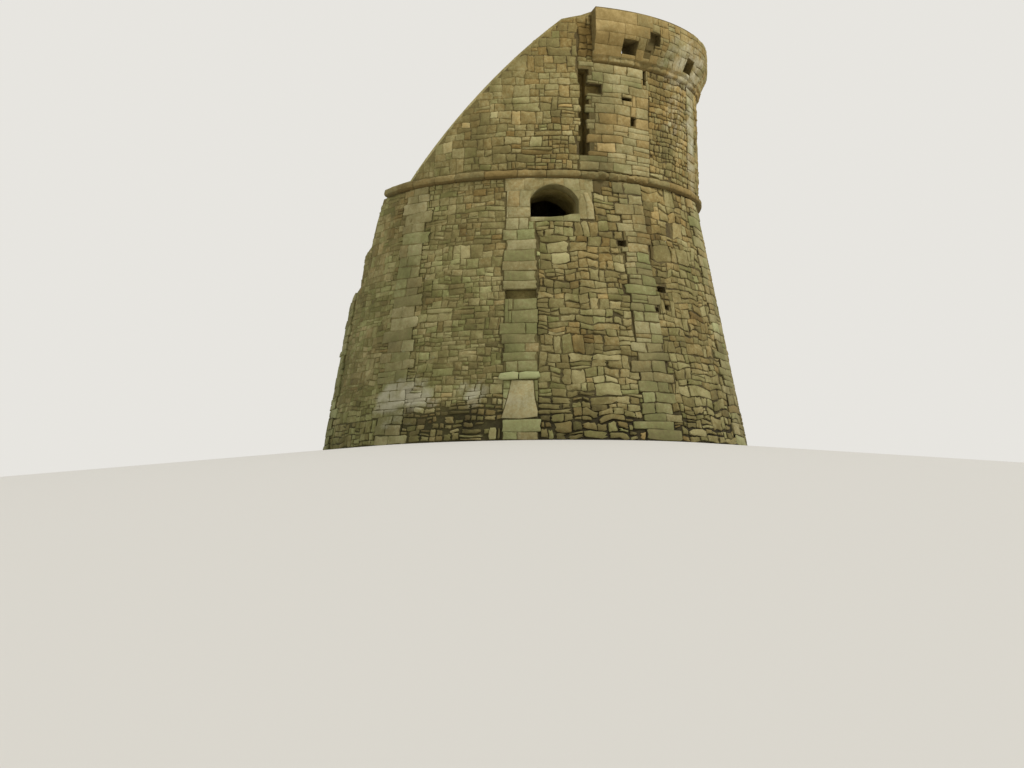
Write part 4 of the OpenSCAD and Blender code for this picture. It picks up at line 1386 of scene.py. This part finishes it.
class TOWER_OT_parapet(bpy.types.Operator):
    """Lays the parapet with its gun loops, and the ledge under it"""

    bl_idname = "tower.parapet"
    bl_label = "Parapet"

    PROUD = 0.006
    # Where the first stretch's squared stone gives way to rubble, in the scar
    SQUARED_TO = 40.0
    # A gun loop, outside and inside: half its breadth in degrees, its foot and its top over the sill
    LOOP = (2.72, -0.005, 0.375)
    INNER_LOOP = (3.1, -0.01, 0.38)
    # Blocks of the ledge
    LEDGE_BLOCKS = 24

    @staticmethod
    def hole(middle, loop):
        """The hole of a gun loop: first angle, last angle, foot and top."""
        half, foot, top = loop
        return middle - half, middle + half, SILL_Z + foot, SILL_Z + top

    @staticmethod
    def wear(a, z):
        """Loss of stone on the ledge: a little all over, all of it at the scar and at its broken start."""
        lost = 0.030 * np.clip(ripple(a * DEGREE, z, 27, 0.5), -0.3, 1.4)
        lost += 0.09 * band(a, 39.3, 1.9) + 0.10 * np.clip((22.4 - a) / 2.0, 0, 1)
        return np.clip(lost + 0.008 * ripple(a * DEGREE, z, 29, 0.15), -0.01, 0.105)

    def stretch(self, i):
        """Lays one stretch: squared stone and then rubble outside, and rubble inside."""
        s = stonework()
        rng = rng_for("parapet", i)
        face = round_face(parapet_radius, self.PROUD)
        low, high = LEDGE_TOP_Z + GAP, TOP_Z - 0.05
        middle = LOOP_FIRST + (i - 1) * LOOP_PITCH
        first = PARAPET_FIRST if i == 1 else middle - LOOP_PITCH / 2
        last = middle + LOOP_PITCH / 2
        holes = [self.hole(middle, self.LOOP)] + (SCAR if i == 1 else [])

        def kept(u, v):
            return standing(u, v, parapet_radius, 0.02) & clear(u, v, holes)

        parts = []
        start = first
        if i == 1:
            start = self.SQUARED_TO
            cells = lay(rng, face, first, start, low, high, s.ashlar_course * 1.15, 0.8, 0.3)
            parts.append(wall(
                rng, face, cells, holes, kept, joint=s.ashlar_joint * 0.6, cut=0.06,
                bend=(0.003, 0.008, 61), relief=s.ashlar_relief * 0.9, edge=0.007, rough=0.003, tilt=0.008))
        cells = rubble_cells(rng, face, start, last, low, high)
        parts.append(wall(
            rng, face, cells, holes, kept, joint=s.rubble_joint * 0.35, cut=0.26,
            bend=(0.016, 0.020, 62), relief=s.rubble_relief * 0.4, edge=0.010, rough=0.008, tilt=0.03))
        parts.append(inner_rubble(rng, first, last, TOP_Z - 0.02, [self.hole(middle, self.INNER_LOOP)], 63))
        made = joined(parts)
        numbers = stone_numbers(rng, made, 0.25, -0.4, 0.9 if i == 1 else 0.2)
        add_piece(f"parapet_{i}_stones", made, "ashlar stone", numbers)
        finish_node(f"parapet_{i}", "wall capping")

    def ledge(self):
        """Lays the ledge: its moulding, then the course over it that carries the sills."""
        rng = rng_for("ledge")
        profile = [
            (4.52, SILL_Z, 0), (4.52, LEDGE_Z, 0), (4.99, LEDGE_Z, 0), (5.05, LEDGE_Z + 0.045, 0.6),
            (5.09, LEDGE_Z + 0.09, 1), (5.095, LEDGE_TOP_Z - 0.03, 1), (5.085, LEDGE_TOP_Z, 1),
            (5.125, LEDGE_TOP_Z + 0.005, 0), (5.14, SILL_Z, 0)]
        ends = cuts(rng, PARAPET_FIRST, PARAPET_LAST, self.LEDGE_BLOCKS, 0.4)
        made = course_blocks(rng, np.stack([ends[:-1] + 0.04, ends[1:] - 0.04], 1), profile, self.wear)
        # Painted shade on the ledge's underside
        numbers = shadowed(stone_numbers(rng, made, 0.4, -0.2, 0.8), made[0], LEDGE_Z + 0.06)
        add_piece("parapet_ledge_blocks", made, "ashlar stone", numbers, instead_of="parapet_ledge")

    def execute(self, context):
        for i in range(1, LOOP_COUNT + 1):
            self.stretch(i)
        self.ledge()
        return {"FINISHED"}


class TOWER_OT_slope(bpy.types.Operator):
    """Beds stones in the mortar over the slope and in the sheared left face, and paves the terrace"""

    bl_idname = "tower.slope"
    bl_label = "Slope and terrace"

    # Share of the slope's stones that are left, and how far the paving lies in its mortar
    STONES_LEFT = 0.75
    PAVING_SUNK = 0.012

    def over_slope(self, rng):
        """Flat stones in the mortar from the string course up to the terrace."""
        s = stonework()
        x = np.concatenate([np.linspace(-4.2, SLOPE_FOOT[0], 3)[:-1],
                            np.linspace(SLOPE_FOOT[0], SLOPE_HEAD[0], 14), [CREST[0]]])
        face = profile_face(np.stack([x, slope_height(x)], 1))

        def on_slope(u, v):
            px, pz = face.line(v)
            reach = np.hypot(px, u)
            return (reach < 4.93) & ((pz < LEDGE_TOP_Z - 0.03) | (reach > WALL_IN_R + 0.04)) & (v > 0.02)

        cells = rubble_cells(rng, face, -4.95, 4.95, 0.0, face.length)
        stones = fitted(rng, face, cells, s.rubble_joint * 2.0).trimmed(face, on_slope)
        stones = stones.pick(rng.random(len(stones.u)) < self.STONES_LEFT)
        made = lay_stones(rng, face, stones, s.rubble_relief * 0.7, edge=0.02, rough=0.010, tilt=0.06)
        add_piece("slope_capping_stones", made, "rubble stone", stone_numbers(rng, made))
        finish_node("slope_capping", "mortar capping")

    def sheared_face(self, rng):
        """The rubble of the wall's heart, where the upper left side has sheared away."""
        s = stonework()
        face = profile_face(np.stack([-SHEAR_X, SHEAR_Z], 1)[SHEAR_START:])

        def on_shear(u, v):
            px, pz = face.line(v)
            return (np.hypot(px, u) < base_radius(pz) - 0.05) & (pz < COURSE_Z - 0.03) & (v > 0.03)

        cells = rubble_cells(rng, face, -3.0, 3.0, 0.0, face.length)
        stones = fitted(rng, face, cells, s.rubble_joint * 1.6).trimmed(face, on_shear)
        made = lay_stones(rng, face, stones, s.rubble_relief, edge=0.02, rough=0.012, tilt=0.10)
        add_piece("sheared_face_stones", made, "rubble stone", stone_numbers(rng, made))

    def paving(self, rng):
        """The terrace's paving, which has no plaster on it."""
        floor = level_face(LEDGE_TOP_Z - self.PAVING_SUNK)

        def on_floor(u, v):
            return (np.hypot(u, v) < WALL_IN_R - 0.05) & (slope_height(u) > LEDGE_TOP_Z + 0.12)

        cells = lay(rng, floor, -0.4, WALL_IN_R, -WALL_IN_R, WALL_IN_R, 0.42, 0.55, 0.3)
        made = wall(rng, floor, cells, [], on_floor, joint=0.02, cut=0.12, bend=(0.006, 0.01, 68),
                    relief=0.014, edge=0.01, rough=0.003, tilt=0.005, root=0.01)
        numbers = stone_numbers(rng, made, 0.6, -0.2)
        numbers["lime"] *= 0
        add_piece("terrace_paving", made, "ashlar stone", numbers)
        finish_node("terrace", "mortar capping")

    def execute(self, context):
        rng = rng_for("slope")
        for bed in (self.over_slope, self.sheared_face, self.paving):
            bed(rng)
        return {"FINISHED"}


class TOWER_OT_stage(bpy.types.Operator):
    """Sets the camera, the lamps, the backdrop and the ground that falls away round the tower"""

    bl_idname = "tower.stage"
    bl_label = "Stage"

    # The camera: its place, how far it is turned left, up and sideways, its lens and film in millimetres
    CAMERA_AT = (0.0, -48.048, -2.685)
    HEADING = 0.8096
    PITCH = 5.696
    ROLL = -0.554
    LENS = 56.25
    FILM = 36.0
    FAR = 500.0
    # The ground: level under the tower, falling gently to the brink, then by a drop that fades out
    LEVEL_R = 6.35
    FALL = 0.10
    BRINK_R = 45.0
    DROP = 1.2
    DROP_WIDE = 14.0
    GROUND_GAP = 0.001
    # Lamps: name, strength, spread of the light, height and direction
    LAMPS = (("key", 2.2, 12.0, 48.0, 62.0), ("fill", 0.7, 60.0, 20.0, -50.0))
    DAYLIGHT = (1.0, 0.985, 0.95)
    DAYLIGHT_STRENGTH = 0.50

    def add_camera(self, scene):
        """The camera at the photo's place."""
        camera = bpy.data.objects.new("camera", bpy.data.cameras.new("camera"))
        scene.collection.objects.link(camera)
        scene.camera = camera
        camera.data.lens = self.LENS
        camera.data.sensor_width = self.FILM
        camera.data.clip_end = self.FAR
        turn = (Matrix.Rotation(np.radians(self.HEADING), 4, "Z")
                @ Matrix.Rotation(np.radians(90 + self.PITCH), 4, "X")
                @ Matrix.Rotation(np.radians(self.ROLL), 4, "Z"))
        camera.matrix_world = Matrix.Translation(self.CAMERA_AT) @ turn

    def ground_height(self, r):
        """Height of the ground: 0, then -fall (r - level), then past the brink -drop (1 - exp(-d / wide))."""
        fall = np.where(r < self.LEVEL_R, 0.0, -self.FALL * (r - self.LEVEL_R))
        brink = -self.FALL * (self.BRINK_R - self.LEVEL_R)
        past = brink - self.DROP * (1 - np.exp(-(r - self.BRINK_R) / self.DROP_WIDE))
        return np.where(r < self.BRINK_R, fall, np.maximum(fall, past)) - self.GROUND_GAP

    def add_ground(self, scene):
        """The ground, as rings that are closest near the tower: (r cos a, r sin a, height(r))."""
        r = np.concatenate([
            [0.0, 3.0, self.LEVEL_R], np.linspace(7.5, self.BRINK_R, 26), np.linspace(48, 90, 15),
            [140, 240, 400]])
        z = self.ground_height(r)
        a = np.linspace(0, 2 * np.pi, 161)[:-1]
        points = np.stack([r[:, None] * np.cos(a), r[:, None] * np.sin(a), z[:, None] + 0 * a], -1)
        mesh = build_mesh("ground", points.reshape(-1, 3), [tube(len(r), len(a))])
        mesh.shade_smooth()
        ground = bpy.data.objects.new("ground", mesh)
        scene.collection.objects.link(ground)
        material = bpy.data.materials.new("pale ground")
        material.use_nodes = True
        make = Shading(material.node_tree)
        shader = make.node("ShaderNodeBsdfPrincipled", {
            "Base Color": scene.tower_colours.ground, "Roughness": 0.9})
        make.node("ShaderNodeOutputMaterial", {"Surface": shader.outputs[0]})
        mesh.materials.append(material)

    def add_backdrop(self, scene):
        """Daylight from all sides, and the backdrop's own colour where the camera sees it."""
        world = bpy.data.worlds.new("studio")
        scene.world = world
        world.use_nodes = True
        make = Shading(world.node_tree)
        path = make.node("ShaderNodeLightPath")
        soft = make.node("ShaderNodeBackground", {"Color": self.DAYLIGHT, "Strength": self.DAYLIGHT_STRENGTH})
        seen = make.node("ShaderNodeBackground", {"Color": scene.tower_colours.sky, "Strength": 1.0})
        mixed = make.node("ShaderNodeMixShader", {
            0: path.outputs["Is Camera Ray"], 1: soft.outputs[0], 2: seen.outputs[0]})
        make.node("ShaderNodeOutputWorld", {"Surface": mixed.outputs[0]})

    def add_lamps(self, scene):
        """A key light and a wide, soft fill, both as suns."""
        for name, strength, size, high, way in self.LAMPS:
            lamp = bpy.data.objects.new(name, bpy.data.lights.new(name, "SUN"))
            lamp.data.energy = strength
            lamp.data.angle = np.radians(size)
            lamp.rotation_euler = (np.radians(90 - high), 0.0, np.radians(way))
            scene.collection.objects.link(lamp)

    def execute(self, context):
        for add in (self.add_camera, self.add_ground, self.add_backdrop, self.add_lamps):
            add(context.scene)
        context.scene.view_settings.view_transform = "Standard"
        return {"FINISHED"}


class TOWER_PT_panel(bpy.types.Panel):
    """The tower's pieces, its stonework and its colours"""

    bl_idname = "TOWER_PT_panel"
    bl_label = "Tower"
    bl_space_type = "VIEW_3D"
    bl_region_type = "UI"
    bl_category = "Tower"

    def draw(self, context):
        for operator in OPERATORS:
            self.layout.operator(operator.bl_idname)
        for group, kind in ((context.scene.tower_stonework, TowerStonework),
                            (context.scene.tower_colours, TowerColours)):
            for key in kind.__annotations__:
                self.layout.prop(group, key)


OPERATORS = (
    TOWER_OT_scarp,
    TOWER_OT_ribs,
    TOWER_OT_embrasure,
    TOWER_OT_string_course,
    TOWER_OT_drum,
    TOWER_OT_parapet,
    TOWER_OT_slope,
    TOWER_OT_stage,
)
CLASSES = (TowerStonework, TowerColours, *OPERATORS, TOWER_PT_panel)


def register():
    """Makes the tower's classes and settings known to Blender."""
    for kind in CLASSES:
        bpy.utils.register_class(kind)
    bpy.types.Scene.tower_stonework = bpy.props.PointerProperty(type=TowerStonework)
    bpy.types.Scene.tower_colours = bpy.props.PointerProperty(type=TowerColours)


def unregister():
    """Takes them away again, in reverse order."""
    del bpy.types.Scene.tower_stonework
    del bpy.types.Scene.tower_colours
    for kind in reversed(CLASSES):
        bpy.utils.unregister_class(kind)


def main():
    register()
    bpy.ops.tower.scarp()
    bpy.ops.tower.ribs()
    bpy.ops.tower.embrasure()
    bpy.ops.tower.string_course()
    bpy.ops.tower.drum()
    bpy.ops.tower.parapet()
    bpy.ops.tower.slope()
    bpy.ops.tower.stage()


if __name__ == "__main__":
    main()
